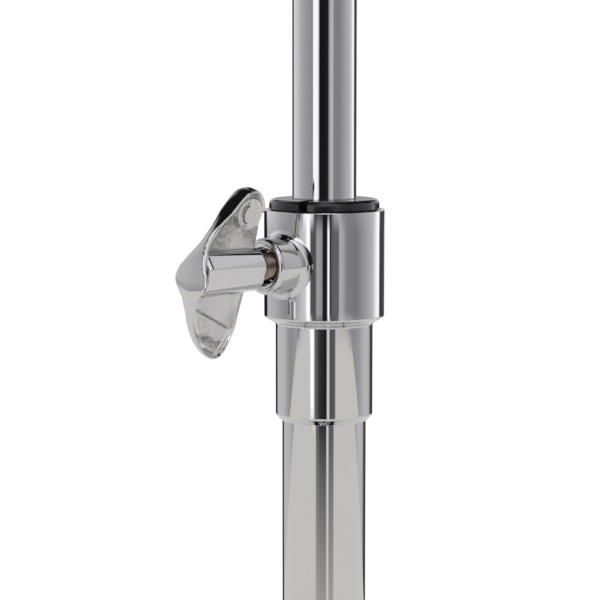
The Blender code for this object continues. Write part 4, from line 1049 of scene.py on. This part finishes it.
TURN = 360.0
BRIGHTEST = 2.0
HIGH_WALL = [(-180, 0.01), (-147, 0.012), (-141, 1.0), (-132, 1.0), (-111, 0.86), (-89, 0.62),
             (-66, 0.50), (-43, 0.41), (-40, 1.6), (-24, 1.5), (-18, 0.01), (12, 0.02), (17, 0.5),
             (24, 0.8), (29, 0.72), (34, 0.355), (54, 0.35), (75, 0.53), (99, 0.72), (112, 0.95),
             (118, 1.4), (128, 1.6), (134, 0.10), (180, 0.02)]
MIDDLE_WALL = [(-180, 0.012), (-144, 0.012), (-139, 0.72), (-109, 0.66), (-81, 0.42), (-62, 0.45),
               (-47, 0.78), (-37, 0.98), (-32, 1.8), (-28.5, 1.8), (-27, 0.2), (-25, 0.13), (-17, 0.14),
               (-14.5, 0.55), (-5, 0.45), (-3, 0.02), (5, 0.01), (6.2, 1.7), (8.8, 1.6), (9.8, 0.03),
               (12, 0.06), (14, 0.18), (24.5, 0.2), (26, 0.09), (28, 0.60), (33, 0.66), (43, 0.35),
               (62, 0.29), (86, 0.54), (105, 0.75), (118, 1.4), (128, 1.6), (132, 0.08), (150, 0.07),
               (160, 0.16), (180, 0.05)]
LOW_WALL = [(-180, 0.006), (-152, 0.01), (-144, 0.75), (-112, 0.74), (-89, 0.43), (-70, 0.5), (-38, 0.9),
            (-32, 1.8), (-26, 1.8), (-22.5, 0.22), (-18, 0.17), (-12, 0.05), (5, 0.015), (6.6, 1.0),
            (11, 0.95), (12.6, 0.13), (24, 0.16), (28, 0.66), (50, 0.58), (70, 0.42), (89, 0.50),
            (110, 0.76), (131, 0.70), (143, 0.07), (180, 0.04)]
FLOOR_EDGE = [(0, 7.2), (51, 7.2), (70, 7.75), (80, 8.6), (89, 9.35), (97, 10.0), (105, 10.8),
              (120, 12.0), (135, 13.2), (150, 14.5), (180, 16.0)]
DEEPEST_EDGE = 20.0
# Dark strips over the ground: centre, half width, and the rises between which each fades out
GROUND_STRIPS = ((-29.0, 3.5, -9.0, -9.9), (1.0, 24.5, -9.5, -18.0))
# Where one wall table goes over to the next, by rise
LOW_SEAM, HIGH_SEAM = (-6.8, -7.2), (-4.6, -4.0)
# Panels: a tone, and the angles at which each share of it begins and is whole
FRONT = (("azimuth", -28.0, -16.0), ("azimuth", 60.0, 24.0))
LEFT_REAR = (("azimuth", -116.0, -124.0), ("rise", 56.0, 46.0))
PANELS = ((1.0, ("side", 105.0, 115.0), ("side", 158.0, 148.0), ("rise", 8.0, 16.0)),
          (0.9, ("rise", 6.0, 24.0), *FRONT),
          (0.95, ("rise", 3.0, 5.0), ("rise", 18.0, 14.0), ("side", 138.0, 148.0)))
CEILING, FRONT_CEILING, LEFT_CEILING = 0.012, 1.3, 0.55
CEILING_EDGE, CEILING_SOFT = (106.0, 116.0, 43.0, 27.0), 2.5
WALL_TINT = (0.99, 0.985, 1.025)
GROUND_COLOUR = (0.885, 0.865, 0.83)


def ramp_of(tree, value, stops):
    """A value that follows a table of places and heights, both from 0 to 1."""
    ramp = tree.nodes.new("ShaderNodeValToRGB")
    feed(tree, ramp.inputs["Fac"], value)
    band = ramp.color_ramp
    band.elements.remove(band.elements[-1])
    for i, (place, height) in enumerate(stops):
        element = band.elements[0] if i == 0 else band.elements.new(place)
        element.position = place
        element.color = (height, height, height, 1.0)
    return ramp.outputs["Color"]


def wall_tone(tree, turn, table):
    """Brightness of the studio wall by azimuth: two ramps, because one holds only 32 stops."""
    scaled = [(azimuth / TURN + 0.5, tone / BRIGHTEST) for azimuth, tone in table]
    half = len(scaled) // 2
    left = ramp_of(tree, turn, scaled[:half + 1])
    right = ramp_of(tree, turn, scaled[half:])
    past = maths(tree, "GREATER_THAN", turn, scaled[half][0])
    return times(tree, blended(tree, past, left, right), BRIGHTEST)


def faded(tree, angles, fades):
    """The product of shares, each from 0 at one angle to 1 at another."""
    share = 1.0
    for name, start, end in fades:
        share = times(tree, share, spread(tree, angles[name], start, end))
    return share


def wall_of(tree, azimuth, side, rise, turn):
    """The wall's tone everywhere: three tables one above another, lighter panels and the ceiling."""
    angles = {"azimuth": azimuth, "side": side, "rise": rise}
    wall = wall_tone(tree, turn, MIDDLE_WALL)
    for table, seam in ((LOW_WALL, LOW_SEAM), (HIGH_WALL, HIGH_SEAM)):
        wall = blended(tree, spread(tree, rise, *seam), wall, wall_tone(tree, turn, table))
    for tone, *fades in PANELS:
        wall = blended(tree, faded(tree, angles, fades), wall, tone)
    above_edge = minus(tree, rise, spread(tree, side, *CEILING_EDGE))
    ceiling = blended(tree, faded(tree, angles, FRONT), CEILING, FRONT_CEILING)
    ceiling = blended(tree, faded(tree, angles, LEFT_REAR), ceiling, LEFT_CEILING)
    return blended(tree, spread(tree, above_edge, -CEILING_SOFT, CEILING_SOFT), wall, ceiling)


def ground_of(tree, azimuth, side, rise):
    """Where the floor is seen: below an edge that sinks toward the back, but for two dark strips."""
    edge_table = [(azimuth / 180.0, low / DEEPEST_EDGE) for azimuth, low in FLOOR_EDGE]
    edge = times(tree, ramp_of(tree, maths(tree, "DIVIDE", side, 180.0), edge_table), -DEEPEST_EDGE)
    soft = spread(tree, side, 50.0, 75.0, 0.5, 0.12)
    ground = spread(tree, minus(tree, rise, edge), times(tree, soft, -1.0), soft, 1.0, 0.0)
    for centre, half, start, end in GROUND_STRIPS:
        off_centre = maths(tree, "ABSOLUTE", minus(tree, azimuth, centre))
        strip = spread(tree, off_centre, half, half + 1.5, 1.0, 0.0)
        ground = blended(tree, strip, ground, spread(tree, rise, start, end))
    return ground


def build_world():
    """A pale studio: soft panels round the stand, a dark gap where the camera stands, a warm floor below."""
    world = bpy.data.worlds.new("studio")
    bpy.context.scene.world = world
    world.use_nodes = True
    tree = world.node_tree
    tree.nodes.clear()
    direction = new_node(tree, "ShaderNodeTexCoord").outputs["Generated"]
    x, y, z = new_node(tree, "ShaderNodeSeparateXYZ", Vector=direction).outputs
    azimuth = maths(tree, "DEGREES", maths(tree, "ARCTAN2", x, times(tree, y, -1.0)))
    rise = maths(tree, "DEGREES", maths(tree, "ARCSINE", z))
    side = maths(tree, "ABSOLUTE", azimuth)
    turn = plus(tree, maths(tree, "DIVIDE", azimuth, TURN), 0.5)

    tinted = tree.nodes.new("ShaderNodeVectorMath")
    tinted.operation = "SCALE"
    feed(tree, tinted.inputs[0], WALL_TINT)
    feed(tree, tinted.inputs["Scale"], wall_of(tree, azimuth, side, rise, turn))
    ground = ground_of(tree, azimuth, side, rise)
    seen = blended_colour(tree, ground, tinted.outputs["Vector"], GROUND_COLOUR)
    studio = new_node(tree, "ShaderNodeBackground", Color=seen)
    backdrop = new_node(tree, "ShaderNodeBackground", Color=(1.0, 1.0, 1.0, 1.0), Strength=1.02)
    rays = new_node(tree, "ShaderNodeLightPath")
    chosen = new_node(tree, "ShaderNodeMixShader", Fac=rays.outputs["Is Camera Ray"])
    for socket, background in zip(chosen.inputs[1:], (studio, backdrop)):
        feed(tree, socket, background.outputs["Background"])
    new_node(tree, "ShaderNodeOutputWorld", Surface=chosen.outputs["Shader"])


FLOOR_R, FLOOR_DROP = 0.66, 0.0005


def build_floor():
    shape = bmesh.new()
    bmesh.ops.create_circle(shape, cap_ends=True, segments=96, radius=FLOOR_R)
    mesh = bpy.data.meshes.new("floor")
    shape.to_mesh(mesh)
    shape.free()
    material, tree, shader, place = new_material("pale_floor", (0.92, 0.915, 0.90), 0.0, 0.7)
    speckle = noise(tree, place, 30.0, 3.0)
    tint_by(tree, shader, speckle, (0.93, 0.925, 0.915), (0.91, 0.905, 0.89))
    add_bump(tree, shader, speckle, 0.05, 0.001)
    mesh.materials.append(material)
    floor = linked(mesh, "floor")
    floor.location = (POST.x, POST.y, -FLOOR_DROP)


LIGHT_PLACE, LIGHT_AIM, LIGHT_SIZE, LIGHT_POWER = Vector((0.0, -0.3, 2.6)), 0.2, 2.2, 44.0


def build_light():
    light = bpy.data.lights.new("overhead", "AREA")
    light.shape = "DISK"
    light.size = LIGHT_SIZE
    light.energy = LIGHT_POWER
    obj = linked(light, "overhead")
    obj.location = LIGHT_PLACE
    aim = Vector((POST.x, POST.y, LIGHT_AIM)) - LIGHT_PLACE
    obj.rotation_euler = aim.to_track_quat("-Z", "Y").to_euler()
    obj.visible_camera = False
    obj.visible_glossy = False


CAMERA_LENS, CAMERA_TILT = 132.0, 83.6
CAMERA_LEFT, CAMERA_AWAY, CAMERA_UP = 7.18 * MM, 649.06 * MM, 45.74 * MM


def build_camera():
    """The photograph's view: close to the clamp, from a little above it."""
    data = bpy.data.cameras.new("camera")
    data.lens = CAMERA_LENS
    data.sensor_width = 36.0
    data.clip_start = 0.01
    data.clip_end = 50.0
    camera = linked(data, "camera")
    camera.location = (POST.x - CAMERA_LEFT, POST.y - CAMERA_AWAY, COLLAR_TOP + CAMERA_UP)
    camera.rotation_euler = (math.radians(CAMERA_TILT), 0.0, 0.0)
    bpy.context.scene.camera = camera


build_camera()
build_world()
build_floor()
build_light()
build_tubes()
build_clamp_collar()
build_clamp_bush()
build_handles()
build_threads()
build_knob()
build_others()
bpy.context.scene.view_settings.view_transform = "Standard"
